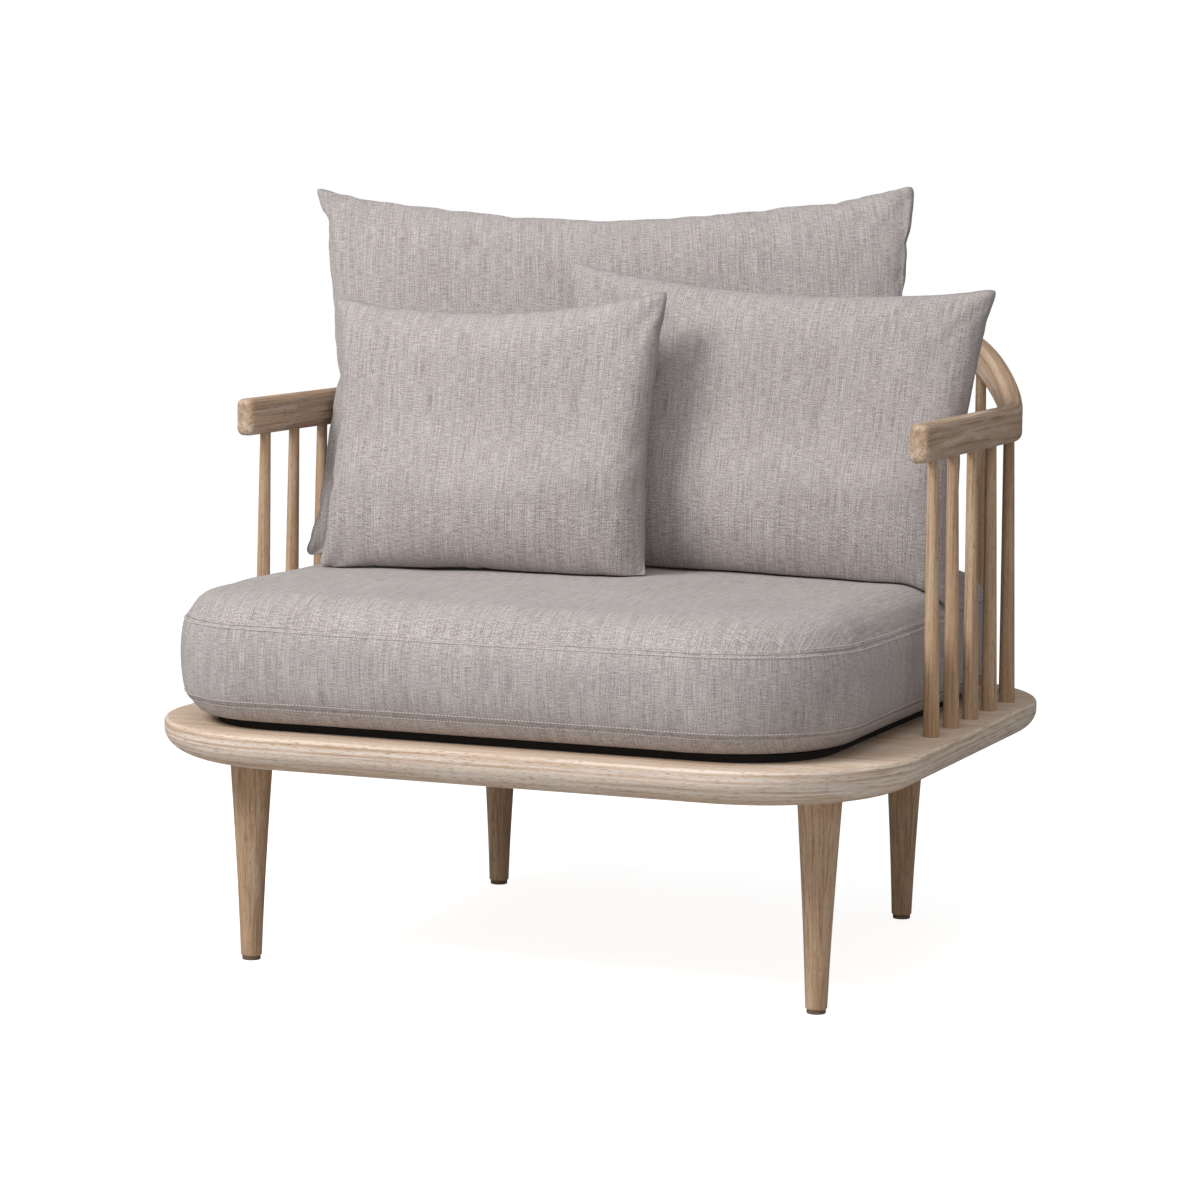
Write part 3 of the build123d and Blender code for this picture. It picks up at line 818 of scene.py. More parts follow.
@dataclass
class SeatCushion:
    """Boxed seat cushion: a crowned top panel, a band with two stitched seams and a flat bottom."""

    node: str = "seat_cushion"
    front_right_radius: float = 150 * MM
    front_left_radius: float = 118 * MM
    back_radius: float = 135 * MM
    cell: float = 9 * MM
    seam_drop: float = 31 * MM        # of the top seam below the edge of the crown
    bottom_seam: float = 20 * MM      # above the underside
    crown: float = 8 * MM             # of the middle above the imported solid's flat top
    shoulder: float = 58 * MM         # from the seam to where the top panel is nearly level
    shoulder_power: float = 2.2
    tuck: float = 17 * MM             # how far the underside draws in below its seam
    belly: float = 6.0 * MM           # how far the band stands out between its seams, at the front
    eases_over: float = 150 * MM      # from standing out in front to lying by the spindles
    panel_squareness: float = 0.86    # of the cloth's grid in the middle of a panel
    off_underlay: float = 1 * MM
    gives: float = 3 * MM             # how far the cloth stretches at most
    seam_depth: float = 1.2 * MM
    stitch_from_seam: float = 3.6 * MM
    pass_spindles: float = 0.6 * MM   # free of the leaning spindles on the left, when it slides out
    fill: float = 0.85

    @property
    def free_before(self) -> float:
        """Where the spindles begin, in front of which the band is free to stand out."""
        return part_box("spindle_right_01")[0].y

    def outline(self, count: int) -> np.ndarray:
        """Walk round the cushion's plan.

        Args:
            count: how many points, starting at the middle of the front and going right.

        Returns:
            One row of x and y for each point.
        """
        low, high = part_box(f"{self.node}_cover")
        fr, fl, br = self.front_right_radius, self.front_left_radius, self.back_radius
        corners = ((high.x - fr, low.y + fr, fr, -90), (high.x - br, high.y - br, br, 0),
                   (low.x + br, high.y - br, br, 90), (low.x + fl, low.y + fl, fl, 180))
        path = [(0.0, low.y)]
        for x, y, radius, start in corners:
            for turn in np.radians(np.linspace(start, start + 90, 31)):
                path.append((x + radius * math.cos(turn), y + radius * math.sin(turn)))
        path.append((0.0, low.y))
        dense = np.array(path)
        reach = np.concatenate([[0], np.cumsum(np.linalg.norm(np.diff(dense, axis=0), axis=1))])
        at = np.linspace(0, reach[-1], count, endpoint=False)
        return np.stack([np.interp(at, reach, dense[:, 0]), np.interp(at, reach, dense[:, 1])], 1)

    def panel(self, loop: np.ndarray, sides: int) -> tuple[np.ndarray, np.ndarray]:
        """Spread a square grid over the inside of a closed loop.

        Args:
            loop: 4 times sides points, in order.
            sides: cells along each side of the grid.

        Returns:
            The grid's points, and the place in the grid of each point of the loop.
        """
        edge = [(i, 0) for i in range(sides)] + [(sides, i) for i in range(sides)]
        edge += [(sides - i, sides) for i in range(sides)] + [(0, sides - i) for i in range(sides)]
        outer = loop[(np.arange(4 * sides + 1) - sides // 2) % (4 * sides)]
        a, b = np.meshgrid(*[np.linspace(-1, 1, sides + 1)] * 2, indexing="ij")
        share = np.maximum(np.abs(a), np.abs(b))
        to_rim = 1 / np.where(share == 0, 1, share)
        u, v = a * to_rim, b * to_rim
        i, j = (u + 1) * sides / 2, (v + 1) * sides / 2
        near = 1 - 1e-9
        at = np.select([v <= -near, u >= near, v >= near], [i, sides + j, 3 * sides - i], 4 * sides - j)
        rim = np.stack([np.interp(at, np.arange(4 * sides + 1), outer[:, axis]) for axis in (0, 1)], -1)
        centre = (loop.max(0) + loop.min(0)) / 2
        straight = centre + np.stack([a, b], -1) * np.ptp(loop, axis=0) / 2 * self.panel_squareness
        weight = (share ** 2)[..., None]
        around = centre + (rim - centre) * share[..., None]
        return straight * (1 - weight) + around * weight, np.array(edge)

    def sewn(self) -> BoxedShell:
        """Lay out the panels and the band, sewn together.

        Returns:
            The shell before it is inflated.
        """
        low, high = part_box(f"{self.node}_cover")
        sides = 2 * round(((high.x - low.x) + (high.y - low.y)) / 2 / self.cell / 2)
        loop = self.outline(4 * sides)
        spread, spots = self.panel(loop, sides)
        seam_top, seam_low = high.z - self.seam_drop, low.z + self.bottom_seam
        between = np.linspace(seam_low + self.stitch_from_seam, seam_top - self.stitch_from_seam, 8)
        levels = np.array([seam_low, *between, seam_top])
        total = (sides + 1) ** 2
        top = np.arange(total).reshape(sides + 1, sides + 1)
        under = top + total
        rim = spots[(np.arange(4 * sides) + sides // 2) % (4 * sides)]
        inner = (len(levels) - 2) * 4 * sides
        rings = np.vstack([under[rim[:, 0], rim[:, 1]], 2 * total + np.arange(inner).reshape(-1, 4 * sides),
                           top[rim[:, 0], rim[:, 1]]])
        points = np.zeros((2 * total + inner, 3))
        flat = spread.reshape(-1, 2)
        edge = self.edge_distance(flat, loop)
        points[:total, :2] = points[total:2 * total, :2] = flat
        points[:total, 2] = seam_top + self.crown_height(edge)
        fall = np.sqrt(1 - (1 - np.clip(edge / self.tuck, 0, 1)) ** 2)
        points[total:2 * total, 2] = seam_low - (seam_low - low.z - self.off_underlay) * fall
        outward = loop - np.roll(loop, 1, axis=0)
        outward = np.stack([outward[:, 1], -outward[:, 0]], 1)
        outward /= np.linalg.norm(outward, axis=1)[:, None]
        free = np.clip((self.free_before - loop[:, 1]) / self.eases_over, 0.1, 1)
        for ring, level in zip(rings[1:-1], levels[1:-1]):
            share = (level - seam_low) / (seam_top - seam_low)
            bulge = (self.belly * math.sin(math.pi * share) ** 0.6 * free)[:, None]
            points[ring, :2] = loop + outward * bulge
            points[ring, 2] = level
        turned = np.concatenate([rings, rings[:, :1]], axis=1)
        faces = np.concatenate([quads(top), quads(under, True), quads(turned, True)])
        return BoxedShell(points, faces, spread, loop, outward, levels, top, under, rings, rim)

    def build(self, linen: bpy.types.Material) -> tuple[np.ndarray, list]:
        """Sew, inflate and dress the seat cushion.

        Args:
            linen: its cloth.

        Returns:
            Vertices and faces of its casing, for other cushions to rest on.
        """
        shell = self.sewn()
        shell.points = self.settled(shell)
        self.pucker(shell)
        casing = make_piece(f"{self.node}_casing", shell.points, shell.faces, linen,
                            self.cloth_places(shell))
        casing.modifiers.new("smooth", "SUBSURF").render_levels = 1
        casing.modifiers["smooth"].levels = 1
        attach(casing, self.node)
        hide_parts(f"{self.node}_cover")
        self.topstitch(shell)
        self.add_core(shell)
        self.add_zip(shell)
        LOG.info("seat cushion: %d faces", len(shell.faces))
        return shell.points, shell.faces

    def crown_height(self, edge: np.ndarray) -> np.ndarray:
        """Height of the top panel above its seam, at a distance in from it.

        Args:
            edge: distances in from the seam.

        Returns:
            Heights above the seam.
        """
        turn = (1 - np.clip(edge / self.shoulder, 0, 1)) ** self.shoulder_power
        round_over = (1 - turn) ** (1 / self.shoulder_power)
        return self.seam_drop * 0.95 * round_over + self.crown * np.clip(edge / 0.26, 0, 1) ** 0.8

    def edge_distance(self, flat: np.ndarray, loop: np.ndarray) -> np.ndarray:
        """Distance of each point of a panel from its seam.

        Args:
            flat: the panel's points in plan.
            loop: the seam's points in plan.

        Returns:
            One distance for each point of the panel.
        """
        found = np.empty(len(flat))
        for start in range(0, len(flat), 2000):
            part = flat[start:start + 2000]
            found[start:start + 2000] = np.sqrt(((part[:, None] - loop[None]) ** 2).sum(2).min(1))
        return found

    def settled(self, shell: BoxedShell) -> np.ndarray:
        """Let the filling push the sewn cover out a little, and keep how the cloth pulls at its seams.

        Args:
            shell: the sewn cover.

        Returns:
            The cover's points once it is filled.
        """
        low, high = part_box(f"{self.node}_cover")
        blow = Inflation(pressure=3.0, frames=7, stretch=30.0, bending=1.0)
        thick_enough = high.z - low.z + self.crown + 50 * MM
        moved = blow.run(shell.points, shell.faces, thick_enough) - shell.points
        reach = np.linalg.norm(moved, axis=1, keepdims=True)
        return shell.points + moved * np.minimum(1, self.gives / np.maximum(reach, 1e-9)) * 0.7

    def pucker(self, shell: BoxedShell) -> None:
        """Sink each seam a little and let the cloth beside it ripple.

        Args:
            shell: the cover, whose points are moved.
        """
        points, rings = shell.points, shell.rings
        for seam in (rings[0], rings[-1]):
            points[seam, :2] -= shell.outward * self.seam_depth
        for number in range(1, len(rings) - 1):
            near = min(number, len(rings) - 1 - number)
            ripple = crumple(points[rings[number]], 34 * MM, 5.0) * 1.1 * MM / near
            points[rings[number], :2] += shell.outward * ripple[:, None]
        upper = shell.top.ravel()
        points[upper, 2] += crumple(points[upper], 75 * MM, 9.0) * 1.3 * MM
        points[upper, 2] += crumple(points[upper], 26 * MM, 3.0) * 0.45 * MM

    def cloth_places(self, shell: BoxedShell) -> np.ndarray:
        """Place on the flat cloth of each face corner: panels by plan, the band by its length.

        Args:
            shell: the cover.

        Returns:
            Two coordinates for each corner of each face.
        """
        panel = quads(np.arange(shell.top.size).reshape(shell.top.shape))
        flat = shell.spread.reshape(-1, 2)
        steps = np.linalg.norm(np.diff(np.vstack([shell.loop, shell.loop[:1]]), axis=0), axis=1)
        reach = np.concatenate([[0], np.cumsum(steps)])
        band = np.stack(np.meshgrid(shell.levels, reach, indexing="ij"), -1)[..., ::-1].reshape(-1, 2)
        wrap = quads(np.arange(len(band)).reshape(len(shell.levels), -1), True)
        return np.concatenate([flat[panel].reshape(-1, 2), flat[panel[:, ::-1]].reshape(-1, 2) + 2.0,
                               band[wrap].reshape(-1, 2) + 5.0])

    def topstitch(self, shell: BoxedShell) -> None:
        """Sew a row of stitches on each side of both seams, and lay a thin dark tube of painted shade in
        each seam.

        Args:
            shell: the cover that is sewn.
        """
        points, rings = shell.points, shell.rings
        side = np.column_stack([shell.outward, np.zeros(len(shell.outward))])
        rows = [(points[rings[1]], side), (points[rings[-2]], side)]
        inward = np.clip(shell.rim, 1, len(shell.top) - 2)
        for panel, seam, lean in ((shell.top, rings[-1], 0.8), (shell.under, rings[0], -0.8)):
            step = points[panel[inward[:, 0], inward[:, 1]]] - points[seam]
            reach = np.linalg.norm(step, axis=1)[:, None]
            facing = side + np.array([0, 0, lean])
            rows.append((points[seam] + step / reach * self.stitch_from_seam,
                         facing / np.linalg.norm(facing, axis=1)[:, None]))
        thread = SEWING_THREAD.material()
        sewn, sewn_faces = joined([Stitching().row(line + facing * 0.25 * MM, facing)
                                   for line, facing in rows])
        # A thin tube in each seam, darker than the cloth: painted shade for the shadow in the groove.
        shadow_tube = Stitching(radius=0.6 * MM)
        shadow_tubes = joined([shadow_tube.line(points[ring] + side * 0.2 * MM, side) for ring in (rings[0], rings[-1])])
        seam_shadow_piece = make_piece(f"{self.node}_seams", *shadow_tubes, SEAM_SHADE.material())
        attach(seam_shadow_piece, self.node)
        # Drawn flat on the left, where the cushion slides past the spindles.
        sewn[:, 0] = np.maximum(sewn[:, 0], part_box("spindle_left_01")[1].x + self.pass_spindles)
        piece = make_piece(f"{self.node}_stitches", sewn, sewn_faces, thread)
        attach(piece, self.node)
        LOG.info("seat stitches: %d faces", len(sewn_faces))

    def add_core(self, shell: BoxedShell) -> None:
        """Put the foam block inside the casing.

        Args:
            shell: the cover that it fills.
        """
        middle = (shell.points.max(0) + shell.points.min(0)) / 2
        core = make_piece(f"{self.node}_foam", middle + (shell.points - middle) * 0.965, shell.faces,
                          COLD_FOAM.material())
        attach(core, self.node)
        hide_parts(f"{self.node}_filling")

    def add_zip(self, shell: BoxedShell) -> None:
        """Set the zip in the middle of the band at the back.

        Args:
            shell: the cover that it closes.
        """
        low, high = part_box(f"{self.node}_zip")
        x, y = shell.loop.T
        at_back = (y > y.max() - 1 * MM) & (x > low.x) & (x < high.x)
        line = shell.points[shell.rings[len(shell.rings) // 2][at_back]]
        line[:, 2] = (low.z + high.z) / 2
        facing = np.column_stack([shell.outward[at_back], np.zeros(at_back.sum())])
        Zip().build(f"{self.node}_coil", line + facing * 0.5 * MM, facing, self.node, f"{self.node}_zip")


# ---------------------------------------------------------------- loose cushions

@dataclass(frozen=True)
class Ear:
    """Where a corner of a loose cushion stands, from the corner of its flat pattern, mm."""

    along: float = 0.0
    up: float = 0.0
    out: float = 0.0


@dataclass
class LooseCushion:
    """Knife-edged feather cushion: two linen panels sewn all round, inflated, then set down to lean."""

    node: str
    top_left: Ear
    top_right: Ear
    bottom_left: Ear
    bottom_right: Ear
    hollows: tuple[float, float, float, float]    # of the top, bottom, left and right edges, mm
    front: float                                  # bulge in front of the seam, mm
    rear: float
    seed: float
    fill: float = 0.6
    cell: float = 7 * MM
    clearance: float = 1.6 * MM
    slump: float = 0.42                           # how far the filling has sunk to the lower half
    round_share: float = 0.28                     # of its height, that turns under in front
    sag: float = 9 * MM                           # how far the belly hangs below the seam
    tip: float = 15 * MM                          # of an ear, from where it starts to round
    limit: float = 6 * MM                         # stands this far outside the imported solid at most
    pad_share: tuple[float, float, float] = (0.86, 0.8, 0.86)    # of the casing, that the pad fills
    origin: np.ndarray = field(init=False)        # middle of the seam plane, and its three directions
    along: np.ndarray = field(init=False)
    up: np.ndarray = field(init=False)
    out: np.ndarray = field(init=False)
    width: float = field(init=False)
    height: float = field(init=False)
    solid: np.ndarray = field(init=False)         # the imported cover
    solid_faces: list = field(init=False)
    front_grid: np.ndarray = field(init=False)    # vertex numbers of the panels, which share the seam
    rear_grid: np.ndarray = field(init=False)
    s: np.ndarray = field(init=False)             # each vertex's share of the way across and up
    t: np.ndarray = field(init=False)
    side: np.ndarray = field(init=False)          # 1 in front and -1 behind
    faces: np.ndarray = field(init=False)

    def __post_init__(self) -> None:
        """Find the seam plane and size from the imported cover, and number the panels' vertices."""
        points, self.solid_faces = node_mesh(f"{self.node}_cover")
        self.solid = points
        ends = {}
        for name, across, up in (("tl", -1, 1), ("tr", 1, 1), ("bl", -1, -1), ("br", 1, -1)):
            ends[name] = points[np.argmax(across * points[:, 0] + up * points[:, 2])]
        self.origin = sum(ends.values()) / 4
        self.along = (ends["tr"] - ends["tl"]) / np.linalg.norm(ends["tr"] - ends["tl"])
        self.up = (ends["tl"] - ends["bl"]) / np.linalg.norm(ends["tl"] - ends["bl"])
        self.out = np.cross(self.along, self.up)
        self.width = np.linalg.norm(ends["tr"] - ends["tl"])
        self.height = np.linalg.norm(ends["tl"] - ends["bl"])
        across, high = round(self.width / self.cell), round(self.height / self.cell)
        s, t = np.meshgrid(np.linspace(0, 1, across + 1), np.linspace(0, 1, high + 1), indexing="ij")
        self.front_grid = np.arange(s.size).reshape(s.shape)
        self.rear_grid = self.front_grid.copy()
        inner = (across - 1) * (high - 1)
        self.rear_grid[1:-1, 1:-1] = s.size + np.arange(inner).reshape(across - 1, high - 1)
        self.s = np.concatenate([s.ravel(), s[1:-1, 1:-1].ravel()])
        self.t = np.concatenate([t.ravel(), t[1:-1, 1:-1].ravel()])
        self.side = np.concatenate([np.ones(s.size), -np.ones(inner)])
        self.faces = np.concatenate([quads(self.front_grid), quads(self.rear_grid, True)])

    def to_chair(self, local: np.ndarray) -> np.ndarray:
        """Turn places in the seam plane into places on the chair."""
        return (self.origin + local[:, :1] * self.along + local[:, 1:2] * self.up
                + local[:, 2:3] * self.out)

    def to_plane(self, points: np.ndarray) -> np.ndarray:
        """Turn places on the chair into places in the seam plane."""
        return (points - self.origin) @ np.column_stack([self.along, self.up, self.out])

    def corner_distances(self) -> list[tuple[int, int, np.ndarray, np.ndarray]]:
        """Each corner as across and up, 0 or 1, with every point's distances from it both ways."""
        return [(across, up, np.abs(self.s - across) * self.width, np.abs(self.t - up) * self.height)
                for across in (0, 1) for up in (0, 1)]

    def blown(self) -> np.ndarray:
        """Inflate the two flat panels.

        Returns:
            Places in the seam plane.
        """
        lens = np.sqrt(np.clip(np.sin(np.pi * self.s) * np.sin(np.pi * self.t), 0, 1))
        flat = np.column_stack([(self.s - 0.5) * self.width, (self.t - 0.5) * self.height,
                                self.side * lens * 12 * MM])
        drift = crumple(flat * np.array([1, 1, 0]) + self.side[:, None] * 0.3, 60 * MM, self.seed)
        flat[:, 2] += drift * 2.5 * MM * lens
        return Inflation(pressure=9.0, frames=26, bending=0.3).run(
            flat, self.faces, (self.front + self.rear) * MM)

    def edge_targets(self, shape: np.ndarray) -> dict[str, np.ndarray]:
        """How far each seam has to move for its ears and hollows to be right.

        Args:
            shape: places in the seam plane.

        Returns:
            A row of moves for each of the four edges.
        """
        half = np.array([self.width / 2, self.height / 2])
        ears = {"tl": (self.top_left, -1, 1), "tr": (self.top_right, 1, 1),
                "bl": (self.bottom_left, -1, -1), "br": (self.bottom_right, 1, -1)}
        corner = {}
        for name, (ear, across, up) in ears.items():
            corner[name] = np.array([across * half[0] + ear.along * MM, up * half[1] + ear.up * MM,
                                     ear.out * MM])
        grid = self.front_grid
        edges = {"top": (grid[:, -1], "tl", "tr", (0, -1)), "bottom": (grid[:, 0], "bl", "br", (0, 1)),
                 "left": (grid[0, :], "bl", "tl", (1, 0)), "right": (grid[-1, :], "br", "tr", (-1, 0))}
        moves = {}
        for hollow, (name, (line, first, last, inward)) in zip(self.hollows, edges.items()):
            share = np.linspace(0, 1, len(line))
            wanted = corner[first] + share[:, None] * (corner[last] - corner[first])
            arch = (4 * share * (1 - share)) ** 0.9 * hollow * MM
            wanted[:, 0] += inward[0] * arch
            wanted[:, 1] += inward[1] * arch
            seam = shape[line]
            smooth = np.column_stack([np.polyval(np.polyfit(share, seam[:, axis], 4), share)
                                      for axis in range(3)])
            smooth += (1 - share)[:, None] * (seam[0] - smooth[0]) + share[:, None] * (seam[-1] - smooth[-1])
            moves[name] = wanted - smooth
        return moves

    def fit_seams(self, shape: np.ndarray) -> np.ndarray:
        """Spread the moves of the seams over the panels.

        Args:
            shape: places in the seam plane.

        Returns:
            The fitted places.
        """
        moves = self.edge_targets(shape)
        across, high = self.front_grid.shape
        i = np.rint(self.s * (across - 1)).astype(int)
        j = np.rint(self.t * (high - 1)).astype(int)
        s, t = self.s[:, None], self.t[:, None]
        top, bottom, left, right = (moves[name] for name in ("top", "bottom", "left", "right"))
        ruled = (1 - t) * bottom[i] + t * top[i] + (1 - s) * left[j] + s * right[j]
        twist = ((1 - s) * (1 - t) * bottom[0] + s * (1 - t) * bottom[-1]
                 + (1 - s) * t * top[0] + s * t * top[-1])
        return shape + ruled - twist

    def sized(self, shape: np.ndarray) -> np.ndarray:
        """Give the front and rear their bulge, with more of the filling low down.

        Args:
            shape: the cushion's points in its own plane.

        Returns:
            The points after it.
        """
        shape = shape.copy()
        weight = 1 + self.slump * np.exp(-((self.t - 0.3) / 0.17) ** 2)
        shape[:, 2] *= weight
        for side, bulge in ((1, self.front), (-1, self.rear)):
            mine = self.side == side
            inside = mine & (self.s > 0.02) & (self.s < 0.98) & (self.t > 0.02) & (self.t < 0.98)
            reach = np.abs(shape[inside, 2]).max()
            shape[inside, 2] *= bulge * MM / reach
        return shape

    def rounded_under(self, shape: np.ndarray) -> np.ndarray:
        """Turn the lowest part of the front under in a quarter ellipse, as a standing cushion's does.

        Args:
            shape: the cushion's points in its own plane.

        Returns:
            The points after it.
        """
        shape = shape.copy()
        high = self.front_grid.shape[1]
        row = max(2, round(self.round_share * (high - 1)))
        turns = np.linspace(0, math.pi / 2, row + 1)
        seam, belly = shape[self.front_grid[1:-1, 0]], shape[self.front_grid[1:-1, row]]
        for step in range(1, row):
            turn, line = turns[step], self.front_grid[1:-1, step]
            hang = self.sag * math.sin(2 * turn) * np.clip(belly[:, 2] / (40 * MM), 0, 1)
            shape[line, 2] = seam[:, 2] + (belly[:, 2] - seam[:, 2]) * math.sin(turn)
            shape[line, 1] = seam[:, 1] + (belly[:, 1] - seam[:, 1]) * (1 - math.cos(turn)) - hang
        return shape

    def rounded_tips(self, shape: np.ndarray) -> np.ndarray:
        """Round the tip of each ear, as turned cloth does.

        Args:
            shape: the cushion's points in its own plane.

        Returns:
            The points after it.
        """
        shape = shape.copy()
        for across, up, a, b in self.corner_distances():
            u, v = np.clip(1 - a / self.tip, 0, 1), np.clip(1 - b / self.tip, 0, 1)
            signs = (1 if across else -1, 1 if up else -1)
            shape[:, 0] -= signs[0] * self.tip * u * (1 - np.sqrt(1 - v ** 2 / 2))
            shape[:, 1] -= signs[1] * self.tip * v * (1 - np.sqrt(1 - u ** 2 / 2))
        return shape

    def creases(self, shape: np.ndarray) -> np.ndarray:
        """Soft dents in the panels and short puckers along the seam.

        Args:
            shape: the cushion's points in its own plane.

        Returns:
            The points after it.
        """
        shape = shape.copy()
        key = np.column_stack([self.s * self.width, self.t * self.height, self.side * 0.5])
        edge = np.minimum.reduce([self.s * self.width, (1 - self.s) * self.width,
                                  self.t * self.height, (1 - self.t) * self.height])
        inner = np.clip(edge / (60 * MM), 0, 1)
        dent = crumple(key, 120 * MM, self.seed + 2) * 2.6 + crumple(key, 48 * MM, self.seed + 4) * 1.1
        shape[:, 2] += self.side * dent * MM * inner
        for across, up, a, b in self.corner_distances():
            reach, turn = np.hypot(a, b), np.arctan2(b, a)
            fold = np.sin(turn * 7 + self.seed + 3 * across + 2 * up) * np.exp(-reach / (50 * MM))
            fold *= np.clip(reach / (22 * MM), 0, 1) * np.clip(edge / (8 * MM), 0, 1)
            shape[:, 2] += self.side * fold * (4.0 if up else 8.0) * MM
        near = np.exp(-edge / (16 * MM))
        ripple = crumple(key * np.array([1, 1, 0]), 20 * MM, self.seed + 6)
        shape[:, 2] += ripple * 1.6 * MM * near
        shape[:, :2] *= 1 - (np.abs(ripple) * near * 1.5 * MM)[:, None] / self.width
        return shape

    def rest(self, points: np.ndarray, behind: list[BVHTree], seat: BVHTree) -> np.ndarray:
        """Flatten the cushion where it meets what it leans on and what it stands on.

        Args:
            points: places on the chair.
            behind: the cushions behind it.
            seat: the seat cushion.

        Returns:
            The places after contact.
        """
        local = self.to_plane(points)
        start = 0.4           # where each ray begins, in front of the seam plane
        ray = Vector(-self.out)
        cloth = np.where(self.side > 0, 1.5 * MM, 0)
        for index, place in enumerate(local):
            eye = self.to_chair(np.array([[place[0], place[1], start]]))[0]
            for tree in behind:
                hit = tree.ray_cast(Vector(eye), ray)
                if hit[0] is not None:
                    depth = start - hit[3] + self.clearance
                    local[index, 2] = max(local[index, 2], depth + cloth[index])
        points = self.to_chair(local)
        for index, point in enumerate(points):
            hit = seat.ray_cast(Vector((point[0], point[1], 1.0)), Vector((0, 0, -1)))
            if hit[0] is not None:
                points[index, 2] = max(point[2], hit[0].z + self.clearance)
        return points

    def kept_in_solid(self, local: np.ndarray) -> np.ndarray:
        """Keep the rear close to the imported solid, so that it stays clear of the spindles and rail.

        Args:
            local: the cushion's points in its own plane.

        Returns:
            The points after it.
        """
        tree = tree_of(self.to_plane(self.solid), self.solid_faces)
        for index in np.where(self.side < 0)[0]:
            hit = tree.ray_cast(Vector((local[index, 0], local[index, 1], -0.4)), Vector((0, 0, 1)))
            if hit[0] is not None:
                local[index, 2] = max(local[index, 2], hit[0].z - self.limit)
        return local

    def build(self, linen: bpy.types.Material, behind: list[BVHTree], seat: BVHTree) -> BVHTree:
        """Sew, inflate, set down and dress the cushion.

        Args:
            linen: its cloth.
            behind: the cushions that it leans on.
            seat: the seat cushion.

        Returns:
            A search tree of its casing.
        """
        local = self.rounded_tips(self.rounded_under(self.fit_seams(self.sized(self.blown()))))
        local = self.kept_in_solid(self.creases(local))
        points = self.rest(self.to_chair(local), behind, seat)
        uv = np.column_stack([self.s * self.width, self.t * self.height])
        uv[self.side < 0] += 1.5
        casing = make_piece(f"{self.node}_casing", points, self.faces, linen, uv[self.faces.ravel()])
        casing.modifiers.new("smooth", "SUBSURF").render_levels = 1
        casing.modifiers["smooth"].levels = 1
        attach(casing, self.node)
        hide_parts(f"{self.node}_cover")
        middle = (points.max(0) + points.min(0)) / 2
        inside = middle + (points - middle) * np.array(self.pad_share)
        pad = make_piece(f"{self.node}_pad", inside, self.faces, COTTON_TICKING.material())
        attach(pad, self.node)
        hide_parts(f"{self.node}_filling")
        self.add_zip(points)
        LOG.info("%s: %d faces", self.node, len(self.faces))
        return tree_of(points, self.faces)

    def add_zip(self, points: np.ndarray) -> None:
        """Set the zip in the middle of the bottom seam, towards the rear.

        Args:
            points: the casing's places on the chair.
        """
        low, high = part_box(f"{self.node}_zip")
        span = (high.x - low.x) / self.width / 2
        line = self.rear_grid[:, 1]           # the row of vertices next to the seam
        path = points[line[np.abs(np.linspace(0, 1, len(line)) - 0.5) < span]]
        facing = np.tile(-self.out, (len(path), 1))
        Zip().build(f"{self.node}_coil", path + facing * 1.0 * MM, facing, self.node, f"{self.node}_zip")


# ---------------------------------------------------------------- studio

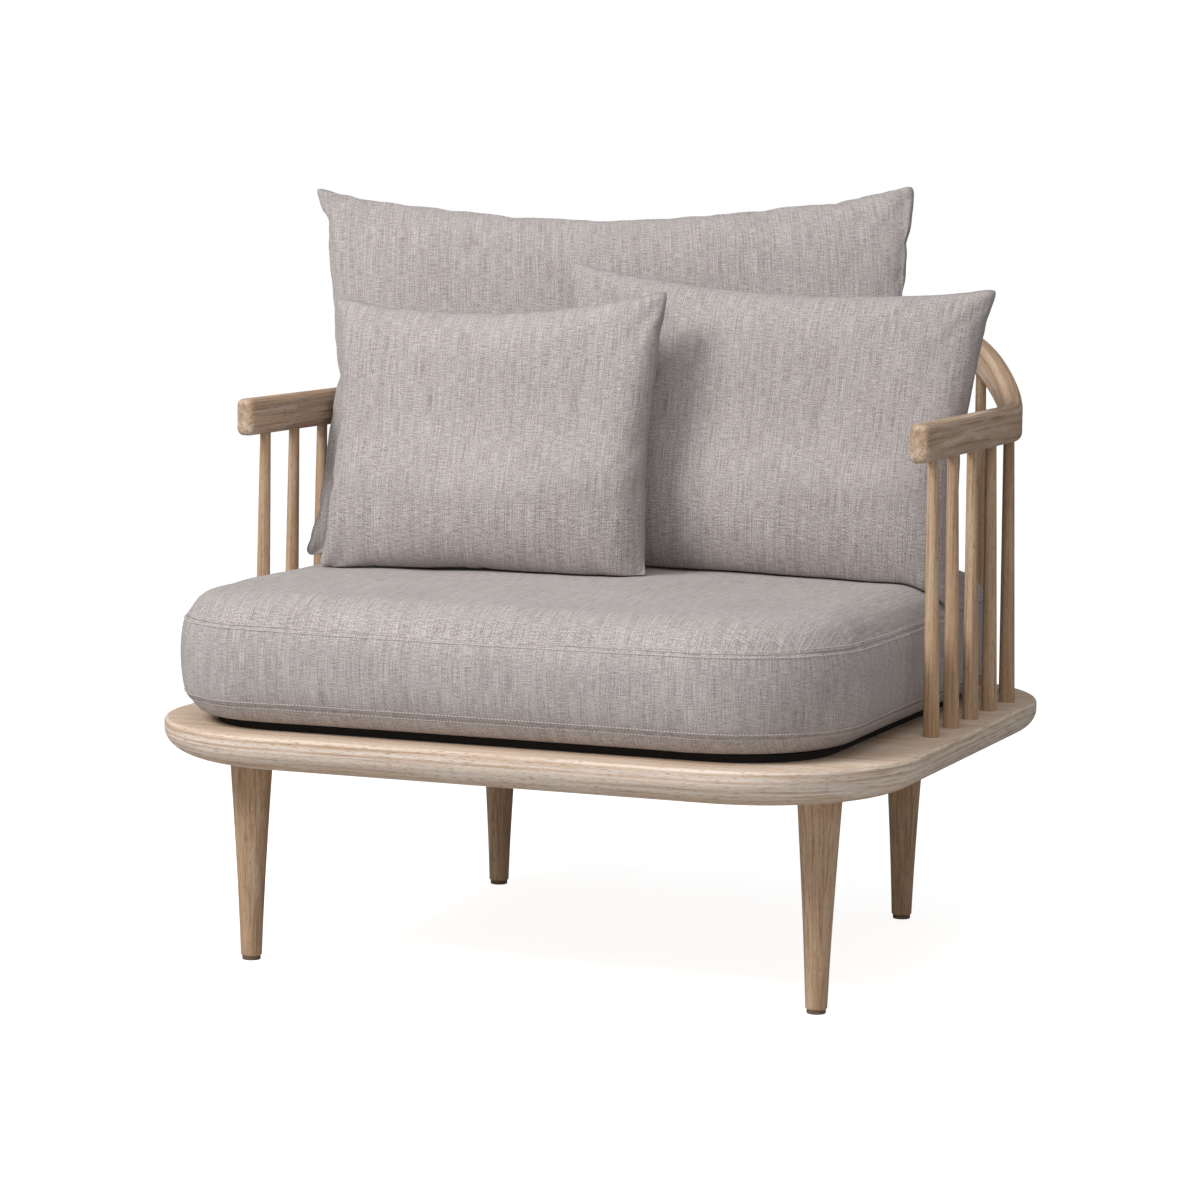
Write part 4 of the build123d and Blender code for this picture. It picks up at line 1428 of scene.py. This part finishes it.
@dataclass
class Studio:
    """Pale floor, soft daylight from the front left and the camera."""

    floor_size: float = 90.0
    room_light: float = 0.27
    azimuth: float = 21.663
    dip: float = 6.601
    roll: float = 0.636
    lens: float = 118.15
    place: tuple[float, float, float] = (1.6296, -4.1407, 0.9126)

    def build(self) -> None:
        """Make the floor, the lights and the camera."""
        half = self.floor_size / 2
        corners = np.array([(-half, -half, 0), (half, -half, 0), (half, half, 0), (-half, half, 0)])
        material, tree, surface = new_finish("seamless_paper")
        seen = add_node(tree, "LightPath", output="Is Camera Ray")
        glow = add_node(tree, "MapRange", {0: seen, 4: 0.86})
        fill_sockets(tree, surface, {"Base Color": linear("#c0c0c0"), "Roughness": 0.95,
                                     "Emission Color": linear("#ffffff"), "Emission Strength": glow})
        floor = make_piece("floor", corners, [(0, 1, 2, 3)], material)
        world = bpy.data.worlds.new("soft_room")
        bpy.context.scene.world = world
        world.use_nodes = True
        background = world.node_tree.nodes["Background"]
        seen = add_node(world.node_tree, "LightPath", output="Is Camera Ray")
        strength = add_node(world.node_tree, "MapRange", {0: seen, 3: self.room_light, 4: 1.0})
        fill_sockets(world.node_tree, background, {"Color": linear("#ffffff"), "Strength": strength})
        self.lamp("window", (-1.75, -2.8, 3.15), 1.6, 133.0)
        self.lamp("sky_panel", (0.5, -1.2, 3.3), 2.4, 34.0)
        self.lamp("bounce", (1.9, -3.2, 1.3), 1.8, 12.0)
        camera = bpy.data.cameras.new("camera")
        camera.lens = self.lens
        camera.sensor_width = 36.0
        viewer = bpy.data.objects.new("camera", camera)
        bpy.context.scene.collection.objects.link(viewer)
        turn = (Matrix.Rotation(math.radians(self.azimuth), 4, "Z")
                @ Matrix.Rotation(math.radians(90 - self.dip), 4, "X")
                @ Matrix.Rotation(math.radians(self.roll), 4, "Z"))
        viewer.matrix_world = Matrix.Translation(self.place) @ turn
        bpy.context.scene.camera = viewer
        bpy.context.scene.view_settings.view_transform = "Standard"

    def lamp(self, name: str, place: tuple, size: float, power: float) -> None:
        """Hang a square lamp that faces the middle of the chair.

        Args:
            name: the lamp's name.
            place: where it hangs.
            size: the length of its side.
            power: its power in watts.
        """
        data = bpy.data.lights.new(name, "AREA")
        data.size, data.energy = size, power
        lamp = bpy.data.objects.new(name, data)
        lamp.location = place
        aim = Vector((0, 0, 0.45)) - Vector(place)
        lamp.rotation_mode = "QUATERNION"
        lamp.rotation_quaternion = aim.to_track_quat("-Z", "Y")
        bpy.context.scene.collection.objects.link(lamp)


def main() -> None:
    """Build the chair in order."""
    logging.basicConfig(level=logging.INFO, format="%(name)s: %(message)s")
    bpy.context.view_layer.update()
    WoodenFrame().dress()
    linen = SlubLinen().material()
    seat = tree_of(*SeatCushion().build(linen))
    back = LooseCushion(
        "back_cushion", top_left=Ear(-33, 7), top_right=Ear(-12, 19), bottom_left=Ear(-16, -1, 14),
        bottom_right=Ear(-4, 4), hollows=(43, 14, 34, 14), front=46, rear=112, seed=11.0, fill=0.6,
        cell=8 * MM).build(linen, [], seat)
    right = LooseCushion(
        "right_pillow", top_left=Ear(0, 17), top_right=Ear(31, -5), bottom_left=Ear(0, 2),
        bottom_right=Ear(3, -27), hollows=(25, 14, 14, 20), front=62, rear=24, seed=23.0,
        fill=0.65).build(linen, [back], seat)
    LooseCushion(
        "small_pillow", top_left=Ear(3, 9), top_right=Ear(10, 26), bottom_left=Ear(5, -3, 20),
        bottom_right=Ear(8, -6, 24), hollows=(26, 12, 20, 13), front=58, rear=26, seed=37.0,
        fill=0.65).build(linen, [back, right], seat)
    Studio().build()


if __name__ == "__main__":
    main()
